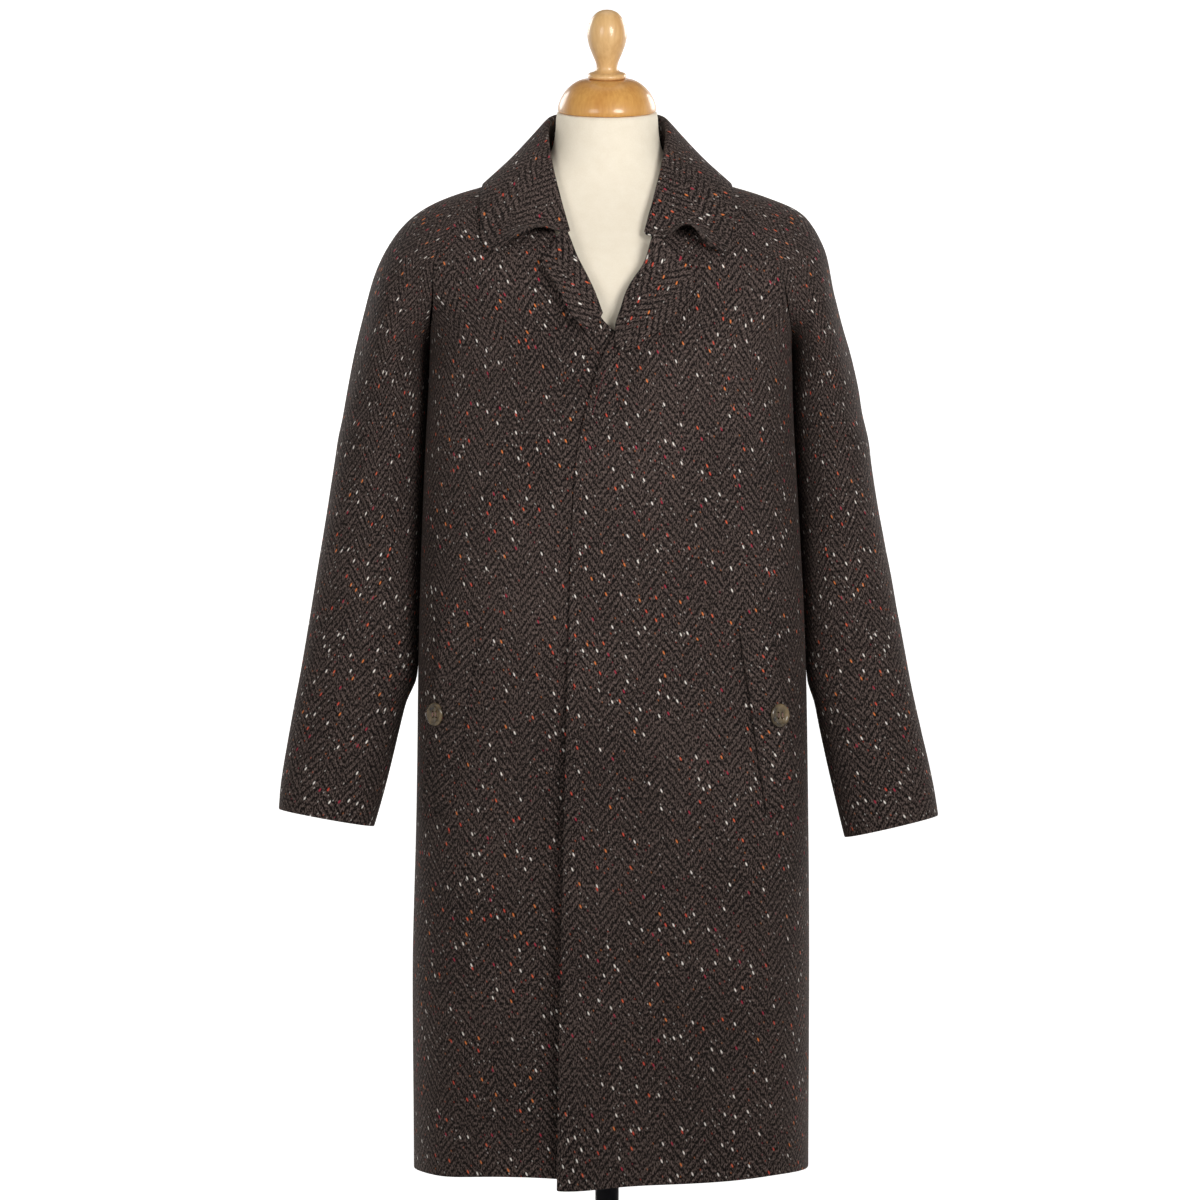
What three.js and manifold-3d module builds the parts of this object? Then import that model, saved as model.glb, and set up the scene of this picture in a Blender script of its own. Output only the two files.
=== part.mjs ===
// Raglan wool overcoat worn by a limbless dress form on a stand.
// Millimetres, +Z up, origin under the middle of the base.
// The coat's front faces -Y and the wearer's left is towards +X.
import * as THREE from 'three';
import Module from 'manifold-3d';

// Cloth and seams
const WALL = 3;
const TRIM_WALL = 2.4;
const HALF_SEAM = 0.2;
const LAYER_GAP = 0.5;

// Levels of the coat
const HEM = 398;
const UNDERARM = 1302;
const SHOULDER_LEVEL = 1393;
const BACK_NECK = 1500;
const CENTRE_BACK = 3;

// Buttons and welts
const BUTTON_RADIUS = 12.8;
const BUTTON_HEIGHT = 4.2;
const BUTTON_GAP = 0.45;
const BUTTON_HOLE_RADIUS = 1.3;
const BUTTON_HOLE_OFFSET = 2.6;
const WELT_WALL = 2.2;
const WELT_GAP = 0.65;

// Dress form and stand
const CAP_TILT = 12;
const CAP_RADIUS = 54;
const CAP_HEIGHT = 36;
const CAP_GAP = 0.9;
const NECK_BACK = 2;
const NECK_TOP = 1558;
const TORSO_FLOOR = 790;
const TORSO_COLUMNS = 32;
const POLE_RADIUS = 13;
const FOOT_RADIUS = 26;
const HARD_GAP = 0.3;
const BASE_RADIUS = 190;
const BASE_THICK = 24;

// Plan sections of the body of the coat: half-widths to the wearer's left and right,
// depths to the front and back, and how square the outline is (2 is an ellipse).
const BODY = [
  { height: 398, left: 221, right: 212, front: 164, back: 170, square: 3.0 },
  { height: 500, left: 221.5, right: 212.5, front: 161, back: 163, square: 3.0 },
  { height: 614, left: 222, right: 214, front: 158, back: 156, square: 3.1 },
  { height: 746, left: 221.5, right: 210, front: 154, back: 148, square: 3.2 },
  { height: 856, left: 220, right: 208, front: 151, back: 142, square: 3.2 },
  { height: 942, left: 219, right: 207.5, front: 149, back: 137, square: 3.2 },
  { height: 1110, left: 211, right: 203, front: 147, back: 133, square: 3.1 },
  { height: 1240, left: 204, right: 197, front: 146, back: 134, square: 3.0 },
  { height: 1302, left: 203, right: 194.5, front: 145, back: 136, square: 2.9 },
  { height: 1328, left: 208, right: 200, front: 143, back: 137, square: 2.9 },
  { height: 1345, left: 220, right: 214, front: 140, back: 138, square: 2.8 },
  { height: 1371, left: 240, right: 238, front: 132, back: 137, square: 2.7 },
  { height: 1393, left: 240, right: 250, front: 121, back: 133, square: 2.6 },
  { height: 1407, left: 235, right: 244, front: 112, back: 129, square: 2.5 },
  { height: 1418, left: 231, right: 237.5, front: 104, back: 126, square: 2.5 },
  { height: 1428.5, left: 225.5, right: 231, front: 97, back: 122, square: 2.5 },
  { height: 1439.5, left: 218, right: 221, front: 89, back: 118, square: 2.4 },
  { height: 1450.5, left: 206.5, right: 205.5, front: 81, back: 112, square: 2.4 },
  { height: 1461.5, left: 186, right: 185, front: 74, back: 105, square: 2.3 },
  { height: 1470, left: 160, right: 159, front: 68, back: 99, square: 2.3 },
  { height: 1476, left: 134, right: 133, front: 65, back: 95, square: 2.3 },
  { height: 1486, left: 106, right: 106, front: 59, back: 87, square: 2.2 },
  { height: 1500, left: 80, right: 80, front: 54, back: 74, square: 2.2 },
  { height: 1512, left: 68, right: 68, front: 52, back: 64, square: 2.2 },
];

// The padded form inside the coat, up to the top of its neck.
const TORSO = [
  { height: 790, left: 150, right: 150, front: 100, back: 104, square: 2.3 },
  { height: 800, left: 155, right: 155, front: 105, back: 109, square: 2.3 },
  { height: 880, left: 166, right: 166, front: 114, back: 122, square: 2.3 },
  { height: 960, left: 162, right: 162, front: 109, back: 114, square: 2.3 },
  { height: 1040, left: 151, right: 151, front: 103, back: 99, square: 2.3 },
  { height: 1120, left: 153, right: 153, front: 108, back: 101, square: 2.3 },
  { height: 1210, left: 166, right: 166, front: 121, back: 116, square: 2.3 },
  { height: 1290, left: 176, right: 176, front: 129, back: 126, square: 2.3 },
  { height: 1345, left: 183, right: 183, front: 123, back: 130, square: 2.3 },
  { height: 1371, left: 189, right: 189, front: 115, back: 129, square: 2.3 },
  { height: 1393, left: 194, right: 194, front: 105, back: 125, square: 2.3 },
  { height: 1418, left: 198, right: 198, front: 89, back: 118, square: 2.3 },
  { height: 1439, left: 197, right: 197, front: 76, back: 110, square: 2.3 },
  { height: 1450, left: 191, right: 191, front: 70, back: 104, square: 2.3 },
  { height: 1458, left: 183, right: 182, front: 66, back: 99, square: 2.2 },
  { height: 1466, left: 159, right: 158, front: 62, back: 94, square: 2.2 },
  { height: 1473, left: 131, right: 130, front: 59, back: 89, square: 2.2 },
  { height: 1480, left: 109, right: 109, front: 57, back: 83, square: 2.1 },
  { height: 1488, left: 88, right: 88, front: 55, back: 75, square: 2.1 },
  { height: 1498, left: 72, right: 72, front: 53.5, back: 66, square: 2 },
  { height: 1512, left: 61.5, right: 61.5, front: 52, back: 60, square: 2 },
  { height: 1532, left: 57, right: 57, front: 51, back: 57, square: 2 },
  { height: 1558, left: 56, right: 56, front: 51, back: 56, square: 2 },
];

// Heights of the rings that the panels are built from.
const LOWER_LEVELS = [398, 412, 470, 550, 640, 735, 830, 920, 1010, 1100, 1180, 1225, 1265, 1302];

// Raglan seams: the turn in degrees from the side, towards the front and towards the back.
const RAGLAN = [
  { height: 1302, front: 0, back: 0 },
  { height: 1306, front: 9, back: 8 },
  { height: 1312, front: 16, back: 15 },
  { height: 1320, front: 22, back: 21 },
  { height: 1330, front: 27.5, back: 28 },
  { height: 1345, front: 36, back: 37 },
  { height: 1371, front: 43, back: 46 },
  { height: 1393, front: 46, back: 51 },
  { height: 1420, front: 46, back: 55 },
  { height: 1443, front: 48, back: 57 },
  { height: 1460, front: 50, back: 58 },
  { height: 1476, front: 52, back: 56 },
  { height: 1500, front: 52, back: 48 },
];

// Front edge and neck edge of the over panel (wearer's left) and the under panel.
const OVER_EDGE = [
  { height: 398, across: -54 },
  { height: 593, across: -50.5 },
  { height: 729, across: -47.3 },
  { height: 944, across: -42.5 },
  { height: 1129, across: -36.6 },
  { height: 1200, across: -32.3 },
  { height: 1236, across: -19 },
  { height: 1270, across: -11 },
  { height: 1300, across: 2.5 },
  { height: 1322, across: 14.5 },
  { height: 1350, across: 25 },
  { height: 1380, across: 44 },
  { height: 1407, across: 56.5 },
  { height: 1436, across: 65 },
  { height: 1456, across: 71 },
  { height: 1476, across: 77 },
];
const UNDER_EDGE = [
  { height: 398, across: 40 },
  { height: 1200, across: 42 },
  { height: 1250, across: 38 },
  { height: 1280, across: 26 },
  { height: 1302, across: 18 },
  { height: 1312, across: 8 },
  { height: 1322, across: -6 },
  { height: 1350, across: -18.5 },
  { height: 1381, across: -33 },
  { height: 1415, across: -56 },
  { height: 1436, across: -61.5 },
  { height: 1456, across: -69 },
  { height: 1476, across: -76 },
];

// Shares of the way from the front or middle back to the side at which columns stand.
const FRONT_SHARES = [0, 0.09, 0.18, 0.27, 0.36, 0.44, 0.5, 0.55, 0.6, 0.65, 0.7, 0.75, 0.8, 0.86, 0.93, 1];
const BACK_SHARES = [0, 0.13, 0.25, 0.36, 0.45, 0.53, 0.61, 0.69, 0.78, 0.89, 1];
const STEP_SHARES = [0, 0.3, 0.65, 1];
const STEP_CLEAR = 3;

// How far the under panel lies behind the over panel, and how wide the step blends.
const STEP = [
  { height: 398, deep: 11, wide: 62 },
  { height: 600, deep: 8, wide: 52 },
  { height: 900, deep: 5, wide: 36 },
  { height: 1150, deep: 4, wide: 24 },
  { height: 1230, deep: 4.6, wide: 22 },
  { height: 1290, deep: 8, wide: 24 },
  { height: 1345, deep: 8, wide: 24 },
];

// Soft flares of the skirt: where they run round the plan, how wide and how deep at the hem.
const FLARES = [
  { turn: 38, spread: 13, deep: 7, top: 900 },
  { turn: 66, spread: 12, deep: 6, top: 820 },
  { turn: 112, spread: 12, deep: 7, top: 860 },
  { turn: 143, spread: 13, deep: 8, top: 920 },
  { turn: 222, spread: 9, deep: 3, top: 720 },
  { turn: 318, spread: 9, deep: 3, top: 700 },
];

// Sleeves above the underarm, a row for each section across the shoulder:
// seam heights on the front and back, how full the arc is and how it leaves the seam.
const CAP_ROWS = [
  { front: 1476, back: 1500, frontReach: 0.4, backReach: 0.4, swing: 0 },
  { front: 1468, back: 1489, frontReach: 0.42, backReach: 0.42, swing: 0 },
  { front: 1458, back: 1474, frontReach: 0.43, backReach: 0.43, swing: 0 },
  { front: 1446, back: 1456, frontReach: 0.44, backReach: 0.44, swing: 0 },
  { front: 1429, back: 1432, frontReach: 0.46, backReach: 0.46, swing: 0 },
  { front: 1408, back: 1406, frontReach: 0.48, backReach: 0.48, swing: 0 },
  { front: 1385, back: 1380, frontReach: 0.53, backReach: 0.53, swing: 0.1 },
  { front: 1361, back: 1355, frontReach: 0.68, backReach: 0.75, swing: 0.28 },
  { front: 1340, back: 1334, frontReach: 0.66, backReach: 0.78, swing: 0.5 },
  { front: 1321, back: 1318, frontReach: 0.92, backReach: 1.06, swing: 0.78 },
  { front: 1309, back: 1308, frontReach: 1.36, backReach: 1.45, swing: 0.92 },
  { front: 1302, back: 1302, frontReach: 1.76, backReach: 1.76, swing: 1 },
];
// The first sections lie on the body's own surface; the rest swing free of it.
const HELD_ROWS = 5;
const SLEEVE_COLUMNS = 9;
const RELAX_ROUNDS = 7;
const SLEEVE_CLEAR = 1.1;

// Ridge of each sleeve, where its halves meet, for the same sections.
const LEFT_RIDGE = [
  { across: 80, height: 1500 },
  { across: 100, height: 1489 },
  { across: 124, height: 1479 },
  { across: 153, height: 1472 },
  { across: 190, height: 1459.8 },
  { across: 218, height: 1439.5 },
  { across: 235.5, height: 1406 },
  { across: 244.5, height: 1379 },
  { across: 250.5, height: 1357 },
  { across: 256, height: 1334 },
  { across: 261, height: 1314 },
  { across: 266.2, height: 1296.5 },
];
const RIGHT_RIDGE = [
  { across: 80, height: 1500 },
  { across: 100, height: 1489 },
  { across: 124, height: 1479 },
  { across: 152, height: 1472 },
  { across: 189, height: 1459.8 },
  { across: 221, height: 1439.5 },
  { across: 244.5, height: 1406 },
  { across: 256, height: 1380 },
  { across: 262.5, height: 1357 },
  { across: 268, height: 1334 },
  { across: 272.5, height: 1314 },
  { across: 276, height: 1296.5 },
];

// Sleeves below the underarm: outer line, inner line, half depth and swing forward.
// Inner lines marked 0 hang against the side of the coat.
const LEFT_ARM = [
  { outer: 271, outerHeight: 1275, inner: 0, innerHeight: 1276, deep: 82, forward: 0 },
  { outer: 278.3, outerHeight: 1241.5, inner: 0, innerHeight: 1238, deep: 79, forward: 2 },
  { outer: 287.1, outerHeight: 1186.5, inner: 0, innerHeight: 1181, deep: 74, forward: 4 },
  { outer: 296, outerHeight: 1131.5, inner: 0, innerHeight: 1124, deep: 70, forward: 7 },
  { outer: 306.9, outerHeight: 1076.5, inner: 0, innerHeight: 1067, deep: 66, forward: 10 },
  { outer: 316.8, outerHeight: 1021.5, inner: 0, innerHeight: 1010, deep: 61, forward: 14 },
  { outer: 326.7, outerHeight: 966.5, inner: 0, innerHeight: 953, deep: 57, forward: 18 },
  { outer: 336.6, outerHeight: 911.5, inner: 229, innerHeight: 896, deep: 52, forward: 23 },
  { outer: 349.8, outerHeight: 856.5, inner: 241.5, innerHeight: 838, deep: 48, forward: 28 },
  { outer: 358.5, outerHeight: 815, inner: 252, innerHeight: 793, deep: 45, forward: 32 },
  { outer: 362.5, outerHeight: 786, inner: 259.5, innerHeight: 762, deep: 43, forward: 34 },
];
const RIGHT_ARM = [
  { outer: 280, outerHeight: 1275, inner: 0, innerHeight: 1276, deep: 82, forward: 0 },
  { outer: 286, outerHeight: 1241.5, inner: 0, innerHeight: 1238, deep: 79, forward: 2 },
  { outer: 296, outerHeight: 1186.5, inner: 0, innerHeight: 1181, deep: 74, forward: 4 },
  { outer: 305.8, outerHeight: 1131.5, inner: 0, innerHeight: 1124, deep: 70, forward: 7 },
  { outer: 314.6, outerHeight: 1076.5, inner: 0, innerHeight: 1067, deep: 66, forward: 10 },
  { outer: 323.4, outerHeight: 1021.5, inner: 0, innerHeight: 1010, deep: 61, forward: 14 },
  { outer: 332, outerHeight: 966.5, inner: 0, innerHeight: 953, deep: 57, forward: 18 },
  { outer: 342, outerHeight: 911.5, inner: 223.5, innerHeight: 897, deep: 52, forward: 23 },
  { outer: 352, outerHeight: 856.5, inner: 236.5, innerHeight: 839, deep: 48, forward: 28 },
  { outer: 357.5, outerHeight: 820, inner: 246.5, innerHeight: 801, deep: 45, forward: 32 },
  { outer: 359.3, outerHeight: 793, inner: 254.5, innerHeight: 774, deep: 43, forward: 34 },
];

// Collar, from its front end to the middle of the back, for one side. The roll is the middle
// of the fold, the edge is the free edge seen from above, and the seam is at the neck.
const COLLAR = [
  { rollX: 44.5, rollY: -101, rollZ: 1420, edgeX: 104, edgeY: -113, lift: 9, seamX: 47, seamY: -99 },
  { rollX: 46.5, rollY: -97, rollZ: 1428, edgeX: 118, edgeY: -113.5, lift: 8, seamX: 50.5, seamY: -94 },
  { rollX: 49, rollY: -91, rollZ: 1438, edgeX: 129, edgeY: -110, lift: 6.5, seamX: 54, seamY: -88 },
  { rollX: 52.5, rollY: -83, rollZ: 1450, edgeX: 134, edgeY: -102, lift: 5.5, seamX: 58, seamY: -80 },
  { rollX: 56.5, rollY: -72, rollZ: 1467, edgeX: 137, edgeY: -86, lift: 5, seamX: 64, seamY: -68 },
  { rollX: 62, rollY: -56, rollZ: 1489, edgeX: 137, edgeY: -58, lift: 5.2, seamX: 70, seamY: -52 },
  { rollX: 66, rollY: -37, rollZ: 1511, edgeX: 136, edgeY: -28, lift: 5.3, seamX: 74, seamY: -34 },
  { rollX: 68.5, rollY: -15, rollZ: 1531, edgeX: 133, edgeY: 4, lift: 5, seamX: 76, seamY: -12 },
  { rollX: 67.5, rollY: 10, rollZ: 1546, edgeX: 127, edgeY: 38, lift: 5, seamX: 75, seamY: 12 },
  { rollX: 60.5, rollY: 34, rollZ: 1554, edgeX: 113, edgeY: 68, lift: 5, seamX: 66, seamY: 35 },
  { rollX: 46.5, rollY: 54, rollZ: 1558, edgeX: 88, edgeY: 89, lift: 4.6, seamX: 49, seamY: 54 },
  { rollX: 24.5, rollY: 67.5, rollZ: 1560, edgeX: 47, edgeY: 99, lift: 4.4, seamX: 25.5, seamY: 66 },
  { rollX: 0, rollY: 72, rollZ: 1561, edgeX: 0, edgeY: 102, lift: 4.4, seamX: 0, seamY: 70 },
];
const COLLAR_ROLL = 4.5;

// Lapels from the bottom of the opening upwards, seen from the front.
const LEFT_LAPEL = [
  { rollX: 8.5, rollZ: 1313, edgeX: 9, edgeZ: 1288 },
  { rollX: 12.5, rollZ: 1322, edgeX: 25, edgeZ: 1289 },
  { rollX: 18, rollZ: 1333, edgeX: 47, edgeZ: 1303 },
  { rollX: 23, rollZ: 1351, edgeX: 66, edgeZ: 1320 },
  { rollX: 32.5, rollZ: 1367, edgeX: 83, edgeZ: 1338 },
  { rollX: 43, rollZ: 1381, edgeX: 94, edgeZ: 1354 },
  { rollX: 49, rollZ: 1394, edgeX: 94, edgeZ: 1366 },
  { rollX: 53, rollZ: 1405, edgeX: 84, edgeZ: 1385 },
];
const RIGHT_LAPEL = [
  { rollX: 7, rollZ: 1326, edgeX: 19, edgeZ: 1308 },
  { rollX: 11, rollZ: 1336, edgeX: 31, edgeZ: 1317 },
  { rollX: 16, rollZ: 1350, edgeX: 42, edgeZ: 1333 },
  { rollX: 23.5, rollZ: 1366, edgeX: 50, edgeZ: 1352 },
  { rollX: 31, rollZ: 1381, edgeX: 59, edgeZ: 1367 },
  { rollX: 39.5, rollZ: 1396, edgeX: 68, edgeZ: 1377 },
  { rollX: 47.5, rollZ: 1410, edgeX: 71, edgeZ: 1388 },
];
const LAPEL_ROLL = 5;
const LAPEL_INSIDE = 12;

// Pocket welts seen from the front: the front line and the side line, top and bottom.
const LEFT_WELT = {
  frontTop: [141, 994],
  frontBottom: [171, 789],
  sideTop: [173, 1002],
  sideBottom: [206, 797],
};
const RIGHT_WELT = {
  frontTop: [136, 996],
  frontBottom: [168, 790],
  sideTop: [176, 1002],
  sideBottom: [200, 800],
};
const WELT_ROWS = 11;
const WELT_COLUMNS = 6;
const LEFT_BUTTON = [183, 897];
const RIGHT_BUTTON = [182, 898];

const point = (x, y, z) => new THREE.Vector3(x, y, z);
const radians = (degrees) => degrees * Math.PI / 180;

/** Eases from 0 to 1 as a value goes from one limit to the other. */
function ease(value, from, to) {
  const part = Math.min(1, Math.max(0, (value - from) / (to - from)));
  return part * part * (3 - 2 * part);
}

/** Rise of a column at one row of a table, with no overshoot. */
function riseAt(rows, column, index) {
  const change = (name, low) => rows[low + 1][name] - rows[low][name];
  const rise = (low) => change(column, low) / change('height', low);
  if (index === 0) return rise(0);
  if (index === rows.length - 1) return rise(index - 1);
  const before = rise(index - 1);
  const after = rise(index);
  return before * after <= 0 ? 0 : 2 * before * after / (before + after);
}

/** Smooth value of a column between the rows of a table sorted by height. */
function readTable(rows, column, height) {
  const at = Math.min(rows[rows.length - 1].height, Math.max(rows[0].height, height));
  let low = 0;
  while (low < rows.length - 2 && rows[low + 1].height < at) low += 1;
  const span = rows[low + 1].height - rows[low].height;
  const part = (at - rows[low].height) / span;
  const square = part * part;
  const cube = square * part;
  return (2 * cube - 3 * square + 1) * rows[low][column]
    + (cube - 2 * square + part) * span * riseAt(rows, column, low)
    + (3 * square - 2 * cube) * rows[low + 1][column]
    + (cube - square) * span * riseAt(rows, column, low + 1);
}

/** Plan section of a table of sections at one height. */
function sectionAt(table, height) {
  return {
    left: readTable(table, 'left', height),
    right: readTable(table, 'right', height),
    front: readTable(table, 'front', height),
    back: readTable(table, 'back', height),
    square: readTable(table, 'square', height),
  };
}

/** Point of a plan section; the turn is 0 at +X, 90 at the back and 270 at the front. */
function ringPoint(table, height, turn) {
  const section = sectionAt(table, height);
  const cos = Math.cos(radians(turn));
  const sin = Math.sin(radians(turn));
  const power = section.square;
  const scale = (Math.abs(cos) ** power + Math.abs(sin) ** power) ** (-1 / power);
  const wide = cos < 0 ? section.right : section.left;
  const deep = sin < 0 ? section.front : section.back;
  return point(wide * cos * scale, deep * sin * scale, height);
}

/** How far outside the body a point is, as a share of the section's size. */
function fieldAt(place) {
  const section = sectionAt(BODY, place.z);
  const wide = place.x < 0 ? section.right : section.left;
  const deep = place.y < 0 ? section.front : section.back;
  const power = section.square;
  return (Math.abs(place.x / wide) ** power + Math.abs(place.y / deep) ** power) ** (1 / power) - 1;
}

/** Direction in which the body's field rises, and the field's rise for each millimetre. */
function fieldRise(place) {
  const step = 0.5;
  const along = (dx, dy, dz) => (fieldAt(point(place.x + dx, place.y + dy, place.z + dz))
    - fieldAt(point(place.x - dx, place.y - dy, place.z - dz))) / (2 * step);
  return point(along(step, 0, 0), along(0, step, 0), along(0, 0, step));
}

const outwardAt = (place) => fieldRise(place).normalize();

/** Distance of a point from the body of the coat, in millimetres. */
function clearOf(place) {
  return fieldAt(place) / fieldRise(place).length();
}

/** Moves a point part of the way to a set distance from the body of the coat. */
function settle(place, distance, share = 1) {
  const moved = place.clone();
  for (let round = 0; round < 4; round += 1) {
    moved.addScaledVector(outwardAt(moved), share * (distance - clearOf(moved)));
  }
  return moved;
}

/** Turn of the point of the front half that has a given x. */
function frontTurn(height, across) {
  const section = sectionAt(BODY, height);
  const share = Math.min(0.999, Math.abs(across) / (across < 0 ? section.right : section.left));
  const deep = (1 - share ** section.square) ** (1 / section.square);
  const turn = Math.atan2(deep, share) * 180 / Math.PI;
  return across < 0 ? 180 + turn : 360 - turn;
}

/** Point on the front of the body at a given x and height. */
const frontPoint = (across, height) => ringPoint(BODY, height, frontTurn(height, across));

/** Point on top of the body above a given x and y. */
function topPoint(x, y) {
  let low = HEM;
  let high = BODY[BODY.length - 1].height;
  for (let round = 0; round < 40; round += 1) {
    const middle = (low + high) / 2;
    if (middle > SHOULDER_LEVEL - 60 && fieldAt(point(x, y, middle)) > 0) high = middle;
    else low = middle;
  }
  return point(x, y, low);
}

/** Depth of the soft flares of the skirt at one place. */
function flareAt(turn, height) {
  return FLARES.reduce((sum, flare) => {
    const away = (turn - flare.turn) / flare.spread;
    return sum + flare.deep * Math.exp(-away * away) * (1 - ease(height, HEM, flare.top));
  }, 0);
}

/** How far the under panel lies inside the body's surface at one place. */
function stepAt(across, height) {
  const edge = readTable(OVER_EDGE, 'across', height);
  const wide = readTable(STEP, 'wide', height);
  return readTable(STEP, 'deep', height) * ease(across, edge - wide, edge - STEP_CLEAR);
}

/** Point of the under panel's outer face. */
function underPoint(across, height, above = 0) {
  const place = frontPoint(across, height);
  return place.clone().addScaledVector(outwardAt(place), above - stepAt(across, height));
}

/** Triangles of a strip between two rows of corners. */
function addStrip(faces, first, second) {
  for (let index = 0; index + 1 < first.length; index += 1) {
    faces.push([first[index], second[index], second[index + 1]]);
    faces.push([first[index], second[index + 1], first[index + 1]]);
  }
}

/** Geometry of a closed body from corners and faces, turned to face out. */
function closedBody(corners, faces) {
  const spot = point(0, 0, 0);
  const volume = faces.reduce((sum, [a, b, c]) => (
    sum + corners[a].dot(spot.crossVectors(corners[b], corners[c]))), 0);
  const turned = volume < 0 ? faces.map(([a, b, c]) => [a, c, b]) : faces;
  const geometry = new THREE.BufferGeometry();
  geometry.setAttribute('position', new THREE.Float32BufferAttribute(
    corners.flatMap((corner) => [corner.x, corner.y, corner.z]), 3));
  geometry.setIndex(turned.flat());
  geometry.computeVertexNormals();
  return geometry;
}

/** Closed wall between a grid of outer points and the grid of their inner partners. */
function wallGeometry(outer, inner) {
  const rows = outer.length;
  const columns = outer[0].length;
  const corners = [...outer.flat(), ...inner.flat()];
  const at = (row, column, side) => side * rows * columns + row * columns + column;
  const line = (count, place) => Array.from({ length: count }, (unused, index) => place(index));
  const faces = [];
  for (let row = 0; row + 1 < rows; row += 1) {
    addStrip(faces, line(columns, (c) => at(row, c, 0)), line(columns, (c) => at(row + 1, c, 0)));
  }
  faces.slice().forEach(([a, b, c]) => faces.push([a, c, b].map((corner) => corner + rows * columns)));
  addStrip(faces, line(columns, (c) => at(0, c, 1)), line(columns, (c) => at(0, c, 0)));
  addStrip(faces, line(columns, (c) => at(rows - 1, c, 0)), line(columns, (c) => at(rows - 1, c, 1)));
  addStrip(faces, line(rows, (r) => at(r, 0, 0)), line(rows, (r) => at(r, 0, 1)));
  addStrip(faces, line(rows, (r) => at(r, columns - 1, 1)), line(rows, (r) => at(r, columns - 1, 0)));
  return closedBody(corners, faces);
}

/** Outward directions of a grid, from its neighbours on each side. */
function gridNormals(grid, sign) {
  const last = grid.length - 1;
  return grid.map((row, r) => row.map((unused, c) => {
    const along = grid[Math.min(last, r + 1)][c].clone().sub(grid[Math.max(0, r - 1)][c]);
    const across = row[Math.min(row.length - 1, c + 1)].clone().sub(row[Math.max(0, c - 1)]);
    return along.cross(across).multiplyScalar(sign).normalize();
  }));
}

/** Pulls the first and last column of a grid back from the seams. */
function trimSeams(grid, first = true, last = true) {
  const pull = (from, to) => from.clone().add(to.clone().sub(from).setLength(HALF_SEAM));
  return grid.map((row) => {
    const count = row.length;
    const trimmed = [...row];
    if (first) trimmed[0] = pull(row[0], row[1]);
    if (last) trimmed[count - 1] = pull(row[count - 1], row[count - 2]);
    return trimmed;
  });
}

/** Wall of a given thickness inside a grid of outer points. */
function wallFrom(outer, normals, thick) {
  const inner = outer.map((row, r) => row.map((place, c) => (
    place.clone().addScaledVector(normals[r][c], -thick))));
  return wallGeometry(outer, inner);
}

/** Place of a front column when the first columns stand on the step. */
function stretchShare(share) {
  const first = FRONT_SHARES[3];
  return (share - first) / (1 - first);
}

/** Named piece with its own finish. */
function piece(name, geometry, finish) {
  const mesh = new THREE.Mesh(geometry, new THREE.MeshStandardMaterial(finish));
  mesh.name = name;
  mesh.material.name = finish.name;
  return mesh;
}

const TWEED = { name: 'brown_tweed', color: 0x3b312e, roughness: 0.95, metalness: 0 };
const HORN = { name: 'dark_horn', color: 0x3a342f, roughness: 0.35, metalness: 0 };
const COTTON = { name: 'cream_cotton', color: 0xf1e6d3, roughness: 0.9, metalness: 0 };
const BEECH = { name: 'varnished_beech', color: 0xd29a52, roughness: 0.35, metalness: 0 };
const STEEL = { name: 'painted_steel', color: 0x2b2b2d, roughness: 0.4, metalness: 0.6 };

/** Turn of the raglan or side seam at one height; side is 1 for the wearer's left. */
function seamTurn(height, side, half) {
  const turn = height <= UNDERARM ? 0 : readTable(RAGLAN, half, height);
  const signed = half === 'front' ? -turn : turn;
  return side > 0 ? (360 + signed) % 360 : 180 - signed;
}

/** Heights of the raglan seam above the underarm, from the bottom. */
function armholeLevels(half) {
  return CAP_ROWS.map((row) => row[half]).reverse().slice(1);
}

/** Outer points of a body panel: turns gives the columns of a row, inset how far a point is sunk. */
function panelRows(levels, turns, inset) {
  return levels.map((height) => turns(height).map((turn) => {
    const place = ringPoint(BODY, height, turn);
    return place.addScaledVector(outwardAt(place), flareAt(turn, height) - inset(place));
  }));
}

/** Turns from a front or back line to a seam, closest where the plan bends most. */
function spreadTurns(from, to, shares) {
  return shares.map((share) => from + (to - from) * share);
}

function buildFront(side) {
  const table = side > 0 ? OVER_EDGE : UNDER_EDGE;
  const levels = [...LOWER_LEVELS, ...armholeLevels('front')];
  const turns = (height) => {
    const seam = seamTurn(height, side, 'front');
    const edge = readTable(table, 'across', height);
    if (side > 0) return spreadTurns(frontTurn(height, edge), seam || 360, FRONT_SHARES);
    const over = readTable(OVER_EDGE, 'across', height);
    const wide = readTable(STEP, 'wide', height);
    const lines = STEP_SHARES.map((share, index) => (
      Math.min(edge - STEP_CLEAR * (index + 1), over - STEP_CLEAR - wide * share)));
    const stepTurns = [edge, ...lines].map((across) => frontTurn(height, across));
    const start = stepTurns[stepTurns.length - 1];
    return [...stepTurns, ...spreadTurns(start, seam, FRONT_SHARES.slice(4).map(stretchShare))];
  };
  const inset = (place) => (side > 0 ? 0 : stepAt(place.x, place.z));
  const outer = trimSeams(panelRows(levels, turns, inset), false, true);
  const normals = outer.map((row) => row.map(outwardAt));
  return wallFrom(outer, normals, WALL);
}

function buildBack(side) {
  const levels = [...LOWER_LEVELS, ...armholeLevels('back')];
  const turns = (height) => {
    const section = sectionAt(BODY, height);
    const middle = Math.atan2(section.left, CENTRE_BACK * (1 - ease(height, HEM, BACK_NECK)));
    return spreadTurns(middle * 180 / Math.PI, seamTurn(height, side, 'back'), BACK_SHARES);
  };
  const outer = trimSeams(panelRows(levels, turns, () => 0));
  const normals = outer.map((row) => row.map(outwardAt));
  return wallFrom(outer, normals, WALL);
}

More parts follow.
